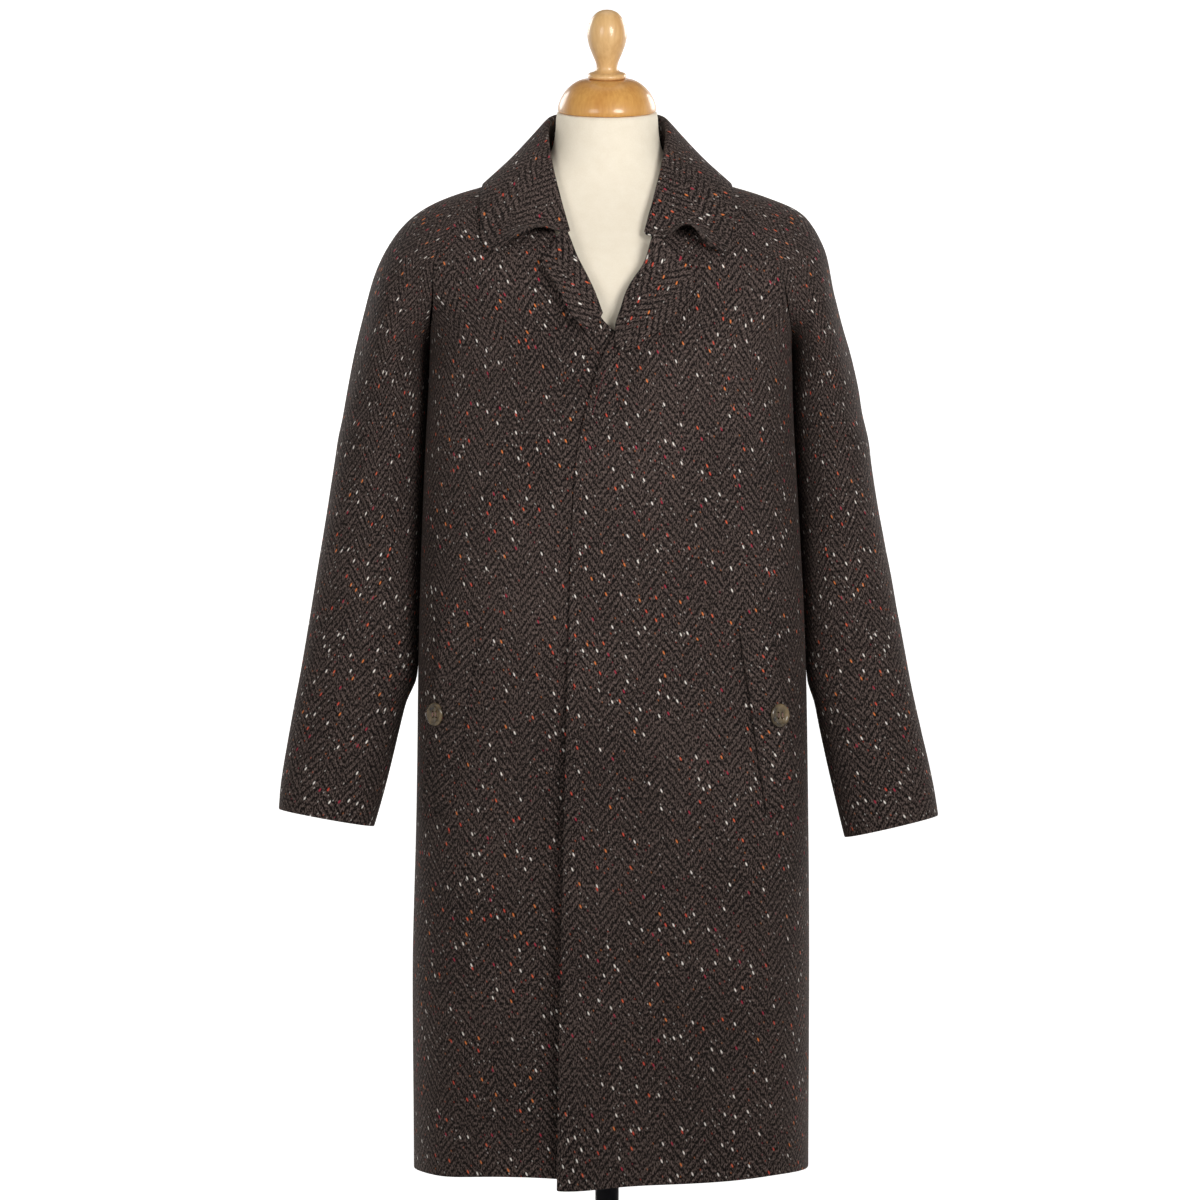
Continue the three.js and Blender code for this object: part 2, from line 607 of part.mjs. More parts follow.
/** Smooth arc from the outer line of a sleeve to its seam. */
function arcPoints(from, fromWay, to, toWay, reach, count) {
  const curve = new THREE.CubicBezierCurve3(
    from, from.clone().addScaledVector(fromWay, reach), to.clone().addScaledVector(toWay, reach), to);
  return Array.from({ length: count }, (unused, index) => curve.getPoint(index / (count - 1)));
}

/** Direction in which the sleeve leaves the raglan seam. */
function leavingWay(seam, ridge, swing, towards) {
  const chord = ridge.clone().sub(seam);
  const normal = outwardAt(seam);
  const follow = chord.clone().addScaledVector(normal, -chord.dot(normal)).normalize();
  const straight = chord.clone().normalize();
  const free = Math.min(1, swing * 2);
  const turned = straight.multiplyScalar(1 - swing).addScaledVector(towards, swing).normalize();
  return follow.multiplyScalar(1 - free).addScaledVector(turned, free).normalize();
}

/** Evens out the inner points of the rows of a grid between two rows, leaving its edges. */
function relaxed(grid, from, to) {
  let rows = grid;
  for (let round = 0; round < RELAX_ROUNDS; round += 1) {
    const before = rows;
    rows = before.map((row, r) => row.map((place, c) => {
      if (r <= from || r >= to || c === 0 || c === row.length - 1) return place;
      const near = [before[r - 1][c], before[r + 1][c], row[c - 1], row[c + 1]];
      const middle = near.reduce((sum, one) => sum.add(one), point(0, 0, 0)).multiplyScalar(0.25);
      return keepClear(place.clone().lerp(middle, 0.5), 0);
    }));
  }
  return rows;
}

/** Outer points of one half of a sleeve, from the neck to the cuff. */
function sleeveRows(side, half, columns) {
  const towards = point(0, half === 'front' ? -1 : 1, 0);
  const ridges = side > 0 ? LEFT_RIDGE : RIGHT_RIDGE;
  const arms = side > 0 ? LEFT_ARM : RIGHT_ARM;
  const upper = CAP_ROWS.map((row, index) => {
    const ridge = point(side * ridges[index].across, 0, ridges[index].height);
    const seam = ringPoint(BODY, row[half], seamTurn(row[half], side, half));
    const way = leavingWay(seam, ridge, row.swing, towards);
    const reach = row[`${half}Reach`] * ridge.distanceTo(seam);
    const hold = 1 - ease(index, HELD_ROWS, HELD_ROWS + 2);
    return arcPoints(ridge, towards, seam, way, reach, columns).map((place) => settle(place, 0, hold));
  });
  const lower = arms.map((row) => {
    const section = sectionAt(BODY, row.innerHeight);
    const beside = (side > 0 ? section.left : section.right) + SLEEVE_CLEAR;
    const outer = point(side * row.outer, -row.forward, row.outerHeight);
    const inner = point(side * (row.inner || beside), -row.forward, row.innerHeight);
    return arcPoints(outer, towards, inner, towards, row.deep * 4 / 3, columns);
  });
  return relaxed([...upper, ...lower], HELD_ROWS, CAP_ROWS.length + 1);
}

/** Outward directions of a sleeve half, square to its seams. */
function sleeveNormals(grid, side, half) {
  const sign = (half === 'front' ? -1 : 1) * side;
  const normals = gridNormals(grid, sign);
  const last = grid.length - 1;
  const across = point(0, half === 'front' ? 1 : -1, 0);
  grid.forEach((row, r) => {
    const end = row.length - 1;
    const next = grid[Math.min(last, r + 1)];
    const line = (column) => next[column].clone().sub(grid[Math.max(0, r - 1)][column]);
    normals[r][0] = line(0).cross(across).multiplyScalar(-sign).normalize();
    if (r < CAP_ROWS.length - 1) {
      const shared = 1 - ease(r, HELD_ROWS, HELD_ROWS + 4);
      normals[r][end].lerp(outwardAt(row[end]), shared).normalize();
    } else {
      normals[r][end] = line(end).cross(across).multiplyScalar(sign).normalize();
    }
  });
  return normals;
}

function buildSleeve(side, half) {
  const grid = sleeveRows(side, half, SLEEVE_COLUMNS);
  const normals = sleeveNormals(grid, side, half);
  return wallFrom(trimSeams(grid), normals, WALL);
}

/** Section of a folded strip: free edge, over the fold, and down the inner leg. */
function foldedPath(station, radius, fallSteps, settleGap) {
  const { roll, edge, inside } = station;
  const fallWay = edge.clone().sub(roll).normalize();
  const legWay = inside.clone().sub(roll).normalize();
  const away = fallWay.clone().add(legWay).negate().normalize();
  const square = (way) => away.clone().addScaledVector(way, -away.dot(way)).normalize();
  const start = square(fallWay);
  const finish = square(legWay);
  const onArc = (from, to, part) => from.clone().lerp(to, part).setLength(radius).add(roll);
  const first = onArc(start, away, 0);
  const fall = Array.from({ length: fallSteps }, (unused, index) => {
    const part = index / fallSteps;
    const place = edge.clone().lerp(first, part);
    place.addScaledVector(start, station.bulge * 4 * part * (1 - part));
    return index === 0 ? place : settleGap(place);
  });
  const last = onArc(away, finish, 1);
  const leg = inside.clone().addScaledVector(finish, radius);
  return [...fall, first, onArc(start, away, 0.5), onArc(start, away, 1), onArc(away, finish, 0.5), last,
    last.clone().lerp(leg, 0.5), leg];
}

/** Keeps a point of a fall clear of the body below it. */
function keepClear(place, gap) {
  const short = gap - clearOf(place);
  return short > 0 ? settle(place, gap) : place;
}

function buildCollar() {
  const station = (row, side) => {
    const edge = settle(topPoint(side * row.edgeX, row.edgeY), row.lift);
    return {
      roll: point(side * row.rollX, row.rollY, row.rollZ),
      edge,
      inside: settle(topPoint(side * row.seamX, row.seamY), -1),
      bulge: row.lift > 5 ? 5 : 2,
    };
  };
  const right = COLLAR.map((row) => station(row, -1));
  const left = COLLAR.slice(0, -1).reverse().map((row) => station(row, 1));
  const clear = (place) => keepClear(place, WALL + LAYER_GAP);
  const grid = [...right, ...left].map((one) => foldedPath(one, COLLAR_ROLL, 5, clear));
  return wallFrom(grid, gridNormals(grid, -1), WALL);
}

function buildLapel(side) {
  const rows = side > 0 ? LEFT_LAPEL : RIGHT_LAPEL;
  const surface = (across, height, above) => (side > 0
    ? frontPoint(across, height).addScaledVector(outwardAt(frontPoint(across, height)), above)
    : underPoint(across, height, above));
  const above = LAPEL_ROLL - WALL / 2;
  const below = -LAPEL_ROLL - WALL / 2;
  const grid = rows.map((row) => {
    const roll = surface(side * row.rollX, row.rollZ, -WALL / 2);
    const edge = surface(side * row.edgeX, row.edgeZ, above);
    const flat = surface(side * row.edgeX, row.edgeZ, -WALL / 2);
    const inside = roll.clone().add(flat.sub(roll).setLength(LAPEL_INSIDE));
    const station = { roll, edge, inside, bulge: 1 };
    return foldedPath(station, LAPEL_ROLL, 4, (place) => place);
  });
  return wallFrom(grid, gridNormals(grid, side), TRIM_WALL);
}

function buildWelt(side) {
  const welt = side > 0 ? LEFT_WELT : RIGHT_WELT;
  const blend = (from, to, part) => from + (to - from) * part;
  const spot = (axis, down, out) => blend(
    blend(welt.frontTop[axis], welt.frontBottom[axis], down),
    blend(welt.sideTop[axis], welt.sideBottom[axis], down),
    out,
  );
  const shares = (count) => Array.from({ length: count }, (unused, index) => index / (count - 1));
  const grid = shares(WELT_ROWS).map((down) => shares(WELT_COLUMNS).map((out) => (
    frontPoint(side * spot(0, down, out), spot(1, down, out)))));
  const lifted = (above) => grid.map((row) => row.map((place) => (
    place.clone().addScaledVector(outwardAt(place), above))));
  return wallGeometry(lifted(WELT_GAP + WELT_WALL), lifted(WELT_GAP));
}

const manifold = await Module();
manifold.setup();

/** Four-hole button standing on its back, on the XY plane. */
function buttonGeometry() {
  const { Manifold, CrossSection } = manifold;
  const rim = BUTTON_RADIUS;
  const tall = BUTTON_HEIGHT;
  const half = [[0, 0], [rim - 2.4, 0], [rim, 1.4], [rim, tall - 1.2], [rim - 1.2, tall], [rim - 3, tall],
    [rim - 4.6, tall - 1.3], [0, tall - 1.3]];
  const hole = Manifold.cylinder(20, BUTTON_HOLE_RADIUS, BUTTON_HOLE_RADIUS, 6, true);
  let button = Manifold.revolve(new CrossSection([half]), 24);
  for (const x of [-BUTTON_HOLE_OFFSET, BUTTON_HOLE_OFFSET]) {
    for (const y of [-BUTTON_HOLE_OFFSET, BUTTON_HOLE_OFFSET]) {
      button = button.subtract(hole.translate([x, y, 0]));
    }
  }
  const mesh = button.getMesh();
  const corners = [];
  for (let index = 0; index < mesh.vertProperties.length; index += mesh.numProp) {
    corners.push(point(...mesh.vertProperties.slice(index, index + 3)));
  }
  const faces = [];
  for (let index = 0; index < mesh.triVerts.length; index += 3) {
    faces.push([...mesh.triVerts.slice(index, index + 3)]);
  }
  return closedBody(corners, faces);
}

function buildButton(side) {
  const [across, height] = side > 0 ? LEFT_BUTTON : RIGHT_BUTTON;
  const place = frontPoint(side * across, height);
  const outward = outwardAt(place);
  const geometry = buttonGeometry();
  geometry.applyQuaternion(new THREE.Quaternion().setFromUnitVectors(point(0, 0, 1), outward));
  const seat = place.addScaledVector(outward, WELT_GAP + WELT_WALL + BUTTON_GAP);
  geometry.translate(seat.x, seat.y, seat.z);
  return geometry;
}

/** Closed body from rings of points, with flat ends. */
function ringBody(rings) {
  const count = rings[0].length;
  const corners = rings.flat();
  const faces = [];
  for (let ring = 0; ring + 1 < rings.length; ring += 1) {
    for (let index = 0; index < count; index += 1) {
      const next = (index + 1) % count;
      faces.push([ring * count + index, ring * count + next, (ring + 1) * count + next]);
      faces.push([ring * count + index, (ring + 1) * count + next, (ring + 1) * count + index]);
    }
  }
  const middle = (ring) => ring.reduce((sum, place) => sum.add(place), point(0, 0, 0)).divideScalar(count);
  const low = corners.push(middle(rings[0])) - 1;
  const high = corners.push(middle(rings[rings.length - 1])) - 1;
  const top = (rings.length - 1) * count;
  for (let index = 0; index < count; index += 1) {
    const next = (index + 1) % count;
    faces.push([low, next, index]);
    faces.push([high, top + index, top + next]);
  }
  return closedBody(corners, faces);
}

function buildTorso() {
  const heights = TORSO.map((row) => row.height);
  const ring = (height) => Array.from({ length: TORSO_COLUMNS }, (unused, index) => {
    const place = ringPoint(TORSO, height, index * 360 / TORSO_COLUMNS);
    place.z += place.y * Math.tan(radians(CAP_TILT)) * ease(height, BACK_NECK, NECK_TOP);
    return place;
  });
  return ringBody(heights.map(ring));
}

/** Turned piece from a profile of radius and height pairs that starts and ends on the axis. */
function turned(profile, segments) {
  const line = profile.map(([radius, height]) => new THREE.Vector2(radius, height));
  return new THREE.LatheGeometry(line, segments).rotateX(Math.PI / 2);
}

/** Leans a turned piece forward about the top of the neck. */
function lean(geometry, lift) {
  geometry.translate(0, 0, lift);
  geometry.rotateX(radians(CAP_TILT));
  return geometry.translate(0, NECK_BACK, NECK_TOP + CAP_GAP);
}

function buildCap() {
  const steps = 6;
  const side = 4;
  const topRadius = 22;
  const flat = Math.acos(topRadius / CAP_RADIUS);
  const rise = (CAP_HEIGHT - side) / Math.sin(flat);
  const dome = Array.from({ length: steps + 1 }, (unused, index) => {
    const angle = flat * index / steps;
    return [CAP_RADIUS * Math.cos(angle), side + rise * Math.sin(angle)];
  });
  const foot = [[0, 0], [CAP_RADIUS - 2, 0], [CAP_RADIUS, 2]];
  return lean(turned([...foot, ...dome, [0, CAP_HEIGHT]], 36), 0);
}

function buildFinial() {
  const ring = [[0, 0], [19.5, 0], [21, 1.6], [21, 4.4], [19.3, 6.4], [15, 7.6]];
  const neck = [[12, 10], [11.6, 14], [12.8, 19], [16.2, 27]];
  const egg = [[19.6, 36], [21.4, 44], [21.5, 50], [20.2, 58.5], [16.8, 66.5]];
  const tip = [[11.5, 72.5], [5.5, 75.4], [0, 76]];
  return lean(turned([...ring, ...neck, ...egg, ...tip], 24), CAP_HEIGHT + HARD_GAP);
}

function buildPole() {
  const top = TORSO_FLOOR - BASE_THICK - 2 * HARD_GAP;
  const foot = [[0, 0], [FOOT_RADIUS, 0], [FOOT_RADIUS, 8]];
  const profile = [...foot, [POLE_RADIUS, 16], [POLE_RADIUS, top], [0, top]];
  return turned(profile, 24).translate(0, 0, BASE_THICK + HARD_GAP);
}

function buildBase() {
  const rim = BASE_RADIUS;
  const edge = [[rim - 2, 0], [rim, 2], [rim, 13], [rim - 4, 17]];
  const profile = [[0, 0], ...edge, [60, BASE_THICK], [0, BASE_THICK]];
  return turned(profile, 48);
}

const coat = new THREE.Group();
coat.name = 'wool_overcoat_on_dress_form';
coat.add(
  piece('front_left', buildFront(1), TWEED),
  piece('front_right', buildFront(-1), TWEED),
  piece('back_left', buildBack(1), TWEED),
  piece('back_right', buildBack(-1), TWEED),
  piece('sleeve_left_front', buildSleeve(1, 'front'), TWEED),
  piece('sleeve_left_back', buildSleeve(1, 'back'), TWEED),
  piece('sleeve_right_front', buildSleeve(-1, 'front'), TWEED),
  piece('sleeve_right_back', buildSleeve(-1, 'back'), TWEED),
  piece('collar', buildCollar(), TWEED),
  piece('lapel_left', buildLapel(1), TWEED),
  piece('lapel_right', buildLapel(-1), TWEED),
  piece('pocket_welt_left', buildWelt(1), TWEED),
  piece('pocket_welt_right', buildWelt(-1), TWEED),
  piece('pocket_button_left', buildButton(1), HORN),
  piece('pocket_button_right', buildButton(-1), HORN),
  piece('form_torso', buildTorso(), COTTON),
  piece('form_cap', buildCap(), BEECH),
  piece('form_finial', buildFinial(), BEECH),
  piece('stand_pole', buildPole(), STEEL),
  piece('stand_base', buildBase(), STEEL),
);

export default coat;
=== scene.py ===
"""Dresses the raglan tweed overcoat, the form that wears it and the form's stand."""

import logging
import math
from dataclasses import dataclass, field
from enum import Enum

import bmesh
import bpy
import numpy as np
from mathutils import Matrix, Vector
from mathutils.bvhtree import BVHTree


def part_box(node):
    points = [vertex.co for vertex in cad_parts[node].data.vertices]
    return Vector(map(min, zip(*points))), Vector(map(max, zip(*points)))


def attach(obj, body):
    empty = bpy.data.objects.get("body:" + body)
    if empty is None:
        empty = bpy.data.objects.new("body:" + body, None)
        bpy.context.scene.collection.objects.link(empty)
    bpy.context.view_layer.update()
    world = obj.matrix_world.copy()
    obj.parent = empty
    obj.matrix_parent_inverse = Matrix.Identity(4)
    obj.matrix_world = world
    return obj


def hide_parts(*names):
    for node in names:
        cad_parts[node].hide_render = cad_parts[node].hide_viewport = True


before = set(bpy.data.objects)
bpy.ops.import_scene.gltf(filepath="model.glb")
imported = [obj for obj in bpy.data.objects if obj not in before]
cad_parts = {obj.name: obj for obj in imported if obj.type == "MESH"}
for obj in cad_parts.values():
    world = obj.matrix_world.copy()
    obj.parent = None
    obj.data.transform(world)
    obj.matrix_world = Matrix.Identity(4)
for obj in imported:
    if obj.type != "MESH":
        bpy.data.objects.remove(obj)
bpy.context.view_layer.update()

LOG = logging.getLogger("overcoat")
MM = 0.001
Links = dict[str | int, object]


def linear(code: str) -> tuple[float, float, float, float]:
    """Turns an sRGB hex colour into a linear one.

    Args:
        code: Six hex digits, such as "3b312e".

    Returns:
        Red, green, blue and alpha for a shader socket.
    """
    parts = [int(code[i:i + 2], 16) / 255 for i in (0, 2, 4)]
    return tuple(p / 12.92 if p <= 0.04045 else ((p + 0.055) / 1.055) ** 2.4 for p in parts) + (1.0,)


def add_node(tree: bpy.types.NodeTree, kind: str, links: Links | None = None, **settings: object) -> bpy.types.Node:
    """Adds one shader node with its settings, values and links.

    Args:
        tree: The material's node tree.
        kind: Blender's name of the node.
        links: For each input, the socket that feeds it or its plain value.
        settings: The node's own properties.

    Returns:
        The new node.
    """
    node = tree.nodes.new(kind)
    for name, value in settings.items():
        setattr(node, name, value)
    for key, value in (links or {}).items():
        if isinstance(value, bpy.types.NodeSocket):
            tree.links.new(value, node.inputs[key])
        else:
            node.inputs[key].default_value = value
    return node


def math_node(tree: bpy.types.NodeTree, operation: str, *values: object) -> bpy.types.NodeSocket:
    """Works out one step of arithmetic in a material.

    Args:
        tree: The material's node tree.
        operation: Name of the operation.
        values: Its sockets or numbers, in order.

    Returns:
        The result's socket.
    """
    return add_node(tree, "ShaderNodeMath", dict(enumerate(values)), operation=operation).outputs[0]


def blank_material(name: str) -> tuple[bpy.types.Material, bpy.types.NodeTree, bpy.types.Node]:
    """Makes a material that holds only its output.

    Args:
        name: The material's name.

    Returns:
        The material, its tree and its output node.
    """
    material = bpy.data.materials.new(name)
    material.use_nodes = True
    tree = material.node_tree
    tree.nodes.clear()
    return material, tree, tree.nodes.new("ShaderNodeOutputMaterial")


@dataclass(frozen=True)
class HerringboneTweed:
    """Woollen tweed, woven as a herringbone from dark and mid brown yarn and brushed."""

    name: str = "brushed_herringbone_tweed"
    shadow_yarn: str = "0c0807"
    light_yarn: str = "70605a"
    column: float = 22.5 * MM
    twill: float = 6.3 * MM
    slope: float = math.radians(53)
    yarn: float = 1.75 * MM
    flecks: tuple[str, ...] = ("f2ebe2", "e9e2da", "d8603c", "f6efe6", "dd7c3e", "a52c42", "ece5de", "cc4c3a")

    def make(self) -> bpy.types.Material:
        """Builds the cloth's material on the map named cloth, which is in metres.

        Returns:
            The material.
        """
        material, tree, output = blank_material(self.name)
        place = add_node(tree, "ShaderNodeUVMap", uv_map="cloth").outputs[0]
        parts = add_node(tree, "ShaderNodeSeparateXYZ", {0: place})
        across, along = parts.outputs[0], parts.outputs[1]
        wander = self.noise(tree, place, 1 / (28 * MM), 2)
        # The twill turns back at each column's edge and is shifted there by half a step,
        # which gives the eye the rows of broken chevrons.
        folded = math_node(tree, "PINGPONG", across, self.column)
        order = math_node(tree, "FLOOR", math_node(tree, "DIVIDE", across, self.column))
        shift = math_node(tree, "MULTIPLY", math_node(tree, "MODULO", order, 2.0), 0.5)
        lift = math_node(tree, "MULTIPLY", along, math.cos(self.slope) / self.twill)
        drift = math_node(tree, "MULTIPLY", folded, math.sin(self.slope) / self.twill)
        phase = math_node(tree, "ADD", math_node(tree, "SUBTRACT", lift, drift), shift)
        phase = math_node(tree, "ADD", phase, math_node(tree, "MULTIPLY", wander, 0.55))
        wave = math_node(tree, "SINE", math_node(tree, "MULTIPLY", phase, 2 * math.pi))
        twill = add_node(tree, "ShaderNodeMapRange", {0: wave, 1: -1.0, 2: 0.25, 3: -1.0, 4: 0.45},
                         interpolation_type="SMOOTHSTEP").outputs[0]
        # Slubs in the woollen yarn break the twill up into short light and dark dashes.
        grain = self.noise(tree, place, 1 / self.yarn, 2, (1.25, 0.62, 1.0))
        patches = self.noise(tree, place, 1 / (9 * MM), 2)
        cloud = self.noise(tree, place, 1 / (150 * MM), 2)
        tone = math_node(tree, "MULTIPLY_ADD", twill, 0.26, 0.22)
        tone = math_node(tree, "MULTIPLY_ADD", grain, 3.4, math_node(tree, "ADD", tone, -1.7))
        tone = math_node(tree, "MULTIPLY_ADD", patches, 0.35, math_node(tree, "ADD", tone, -0.175))
        tone = math_node(tree, "MULTIPLY_ADD", cloud, 0.3, math_node(tree, "ADD", tone, -0.15))
        base = add_node(tree, "ShaderNodeMix", {"Factor": tone, "A": linear(self.shadow_yarn),
                                                "B": linear(self.light_yarn)}, data_type="RGBA")
        colour = self.socket(base, "Result")
        large = self.fleck(tree, place, 8 * MM, 21 * MM, 0.13, 0.29)
        small = self.fleck(tree, place, 5.5 * MM, 11 * MM, 0.13, 0.34)
        for mask, tint, share in ((small[0], small[1], 0.4), (large[0], large[1], 0.95)):
            part = math_node(tree, "MULTIPLY", mask, share)
            mixed = add_node(tree, "ShaderNodeMix", {"Factor": part, "A": colour, "B": tint}, data_type="RGBA")
            colour = self.socket(mixed, "Result")
        height = math_node(tree, "MULTIPLY_ADD", twill, 0.35, math_node(tree, "MULTIPLY", grain, 1.2))
        height = math_node(tree, "ADD", height, math_node(tree, "MULTIPLY", large[0], 0.5))
        bump = add_node(tree, "ShaderNodeBump", {"Height": height, "Distance": 0.5 * MM, "Strength": 0.4})
        shader = add_node(tree, "ShaderNodeBsdfPrincipled", {
            "Base Color": colour, "Roughness": 0.92, "IOR": 1.45, "Specular IOR Level": 0.2,
            "Sheen Weight": 0.08, "Sheen Roughness": 0.55, "Sheen Tint": linear("b8a69c"),
            "Normal": bump.outputs[0]})
        tree.links.new(shader.outputs[0], output.inputs[0])
        return material

    @staticmethod
    def socket(node: bpy.types.Node, name: str) -> bpy.types.NodeSocket:
        """Gives a mix node's colour result."""
        return [one for one in node.outputs if one.name == name and one.type == "RGBA"][0]

    @staticmethod
    def noise(tree: bpy.types.NodeTree, place: bpy.types.NodeSocket, scale: float, detail: float,
              stretch: tuple[float, float, float] = (1.0, 1.0, 1.0)) -> bpy.types.NodeSocket:
        """Adds a soft noise over the cloth.

        Args:
            tree: The material's node tree.
            place: Place on the cloth, in metres.
            scale: Bumps to a metre.
            detail: How many finer layers it has.
            stretch: Scale along each direction.

        Returns:
            The noise's value, about 0.5 in the middle.
        """
        spot = add_node(tree, "ShaderNodeMapping", {"Vector": place, "Scale": stretch}).outputs[0]
        return add_node(tree, "ShaderNodeTexNoise", {"Vector": spot, "Scale": scale, "Detail": detail}).outputs[0]

    def fleck(self, tree: bpy.types.NodeTree, place: bpy.types.NodeSocket, wide: float, tall: float,
              reach: float, share: float) -> tuple[bpy.types.NodeSocket, bpy.types.NodeSocket]:
        """Scatters short coloured neps, the bits of dyed wool that are spun into the yarn.

        Args:
            tree: The material's node tree.
            place: Place on the cloth, in metres.
            wide: Width of the cell that a nep has to itself.
            tall: Length of that cell.
            reach: Half width of a nep as a share of its cell.
            share: Share of cells that have one.

        Returns:
            Where the neps are, and their colours.
        """
        turn = add_node(tree, "ShaderNodeMapping", {"Vector": place, "Rotation": (0, 0, 0.42),
                                                    "Scale": (wide, tall, 1)}, vector_type="TEXTURE").outputs[0]
        cell = add_node(tree, "ShaderNodeTexVoronoi", {"Vector": turn, "Scale": 1.0}, voronoi_dimensions="2D")
        chance = add_node(tree, "ShaderNodeSeparateColor", {0: cell.outputs["Color"]})
        edge = add_node(tree, "ShaderNodeMapRange", {
            "Value": cell.outputs["Distance"], "From Min": reach, "From Max": reach * 0.55})
        there = math_node(tree, "LESS_THAN", chance.outputs[0], share)
        mask = math_node(tree, "MULTIPLY", edge.outputs[0], there)
        ramp = add_node(tree, "ShaderNodeValToRGB", {0: chance.outputs[1]})
        ramp.color_ramp.interpolation = "CONSTANT"
        stops = ramp.color_ramp.elements
        while len(stops) < len(self.flecks):
            stops.new(1.0)
        for index, code in enumerate(self.flecks):
            stops[index].position = index / len(self.flecks)
            stops[index].color = linear(code)
        return mask, ramp.outputs[0]


@dataclass(frozen=True)
class PlainFinish:
    """A finish of one base colour with a soft grain and a fine relief."""

    name: str
    colour: str
    shade: str
    roughness: float
    ior: float = 1.5
    metallic: float = 0.0
    grain: tuple[float, float, float] = (1.0, 1.0, 1.0)
    grain_size: float = 4 * MM
    relief: float = 0.05 * MM
    sheen: float = 0.0
    coat: float = 0.0
    contrast: float = 0.9

    def make(self) -> bpy.types.Material:
        """Builds the finish on the piece's own place in space.

        Returns:
            The material.
        """
        material, tree, output = blank_material(self.name)
        place = add_node(tree, "ShaderNodeTexCoord").outputs["Object"]
        spot = add_node(tree, "ShaderNodeMapping", {"Vector": place, "Scale": self.grain}).outputs[0]
        fine = add_node(tree, "ShaderNodeTexNoise", {"Vector": spot, "Scale": 1 / self.grain_size, "Detail": 3.0})
        broad = add_node(tree, "ShaderNodeTexNoise", {"Vector": spot, "Scale": 0.12 / self.grain_size, "Detail": 2.0})
        level = math_node(tree, "ADD", broad.outputs[0], -self.contrast / 2)
        blend = math_node(tree, "MULTIPLY_ADD", fine.outputs[0], self.contrast, level)
        mixed = add_node(tree, "ShaderNodeMix", {"Factor": blend, "A": linear(self.shade), "B": linear(self.colour)},
                         data_type="RGBA")
        bump = add_node(tree, "ShaderNodeBump", {"Height": fine.outputs[0], "Distance": self.relief, "Strength": 0.6})
        links = {"Base Color": HerringboneTweed.socket(mixed, "Result"), "Roughness": self.roughness,
                 "Metallic": self.metallic, "Sheen Weight": self.sheen, "Coat Weight": self.coat,
                 "Coat Roughness": 0.12, "Normal": bump.outputs[0]}
        if not self.metallic:
            links["IOR"] = self.ior
        shader = add_node(tree, "ShaderNodeBsdfPrincipled", links)
        tree.links.new(shader.outputs[0], output.inputs[0])
        return material


# Woven cotton stretched over padding: matt, warm white, with a faint weave.
FORM_COTTON = PlainFinish("woven_form_cotton", "f6ecd9", "ece0ca", 0.9, grain_size=1.6 * MM, sheen=0.05)
# Turned beech under clear varnish: long pale grain and a soft gloss.
TURNED_BEECH = PlainFinish("varnished_turned_beech", "e0aa5c", "bd7c34", 0.42, grain=(1.0, 1.0, 0.16),
                           grain_size=3 * MM, relief=0.02 * MM, coat=0.5)
# The same beech, made paler for the finial as painted light, to make up for the shade on its sideways faces.
PAINTED_LIGHT_BEECH = PlainFinish("varnished_beech_painted_light", "ecc489", "cc985b", 0.42, grain=(1.0, 1.0, 0.16),
                         grain_size=3 * MM, relief=0.02 * MM, coat=0.5)
# Cut and polished horn: dark, cloudy, and glossy at the rim.
POLISHED_HORN = PlainFinish("polished_dark_horn", "7d6a4c", "151312", 0.26, ior=1.55, grain_size=11 * MM,
                            relief=0.01 * MM, coat=0.5, contrast=2.6)
# Steel under satin stove enamel: dark and even, with a broad soft shine.
SATIN_ENAMEL = PlainFinish("satin_stove_enamel_on_steel", "34343a", "242428", 0.38, grain_size=2 * MM,
                           relief=0.02 * MM, coat=0.2)
# Twisted sewing thread: matt and slightly lighter than the cloth's shadows.
BROWN_THREAD = PlainFinish("twisted_brown_thread", "3a2f2b", "231c19", 0.85, grain_size=0.8 * MM)
CRIMSON_THREAD = PlainFinish("twisted_crimson_thread", "7d2636", "4a1620", 0.8, grain_size=0.8 * MM)
PINK_THREAD = PlainFinish("twisted_button_thread", "b98f86", "7d5a54", 0.8, grain_size=0.8 * MM)


class Grain(Enum):
    """How the cloth's columns lie on a piece."""

    BODY = "down the body"
    SLEEVE = "down the sleeve"
    COLLAR = "square to the neck"
    LEFT_LAPEL = "turned on the left lapel"
    RIGHT_LAPEL = "turned on the right lapel"
    LEFT_WELT = "along the left welt"
    RIGHT_WELT = "along the right welt"


def ease(value: np.ndarray, low: float, high: float) -> np.ndarray:
    """Rises smoothly from 0 to 1 between two values.

    Args:
        value: The values.
        low: Where the rise starts.
        high: Where it ends.

    Returns:
        The eased values.
    """
    part = np.clip((value - low) / (high - low), 0, 1)
    return part * part * (3 - 2 * part)


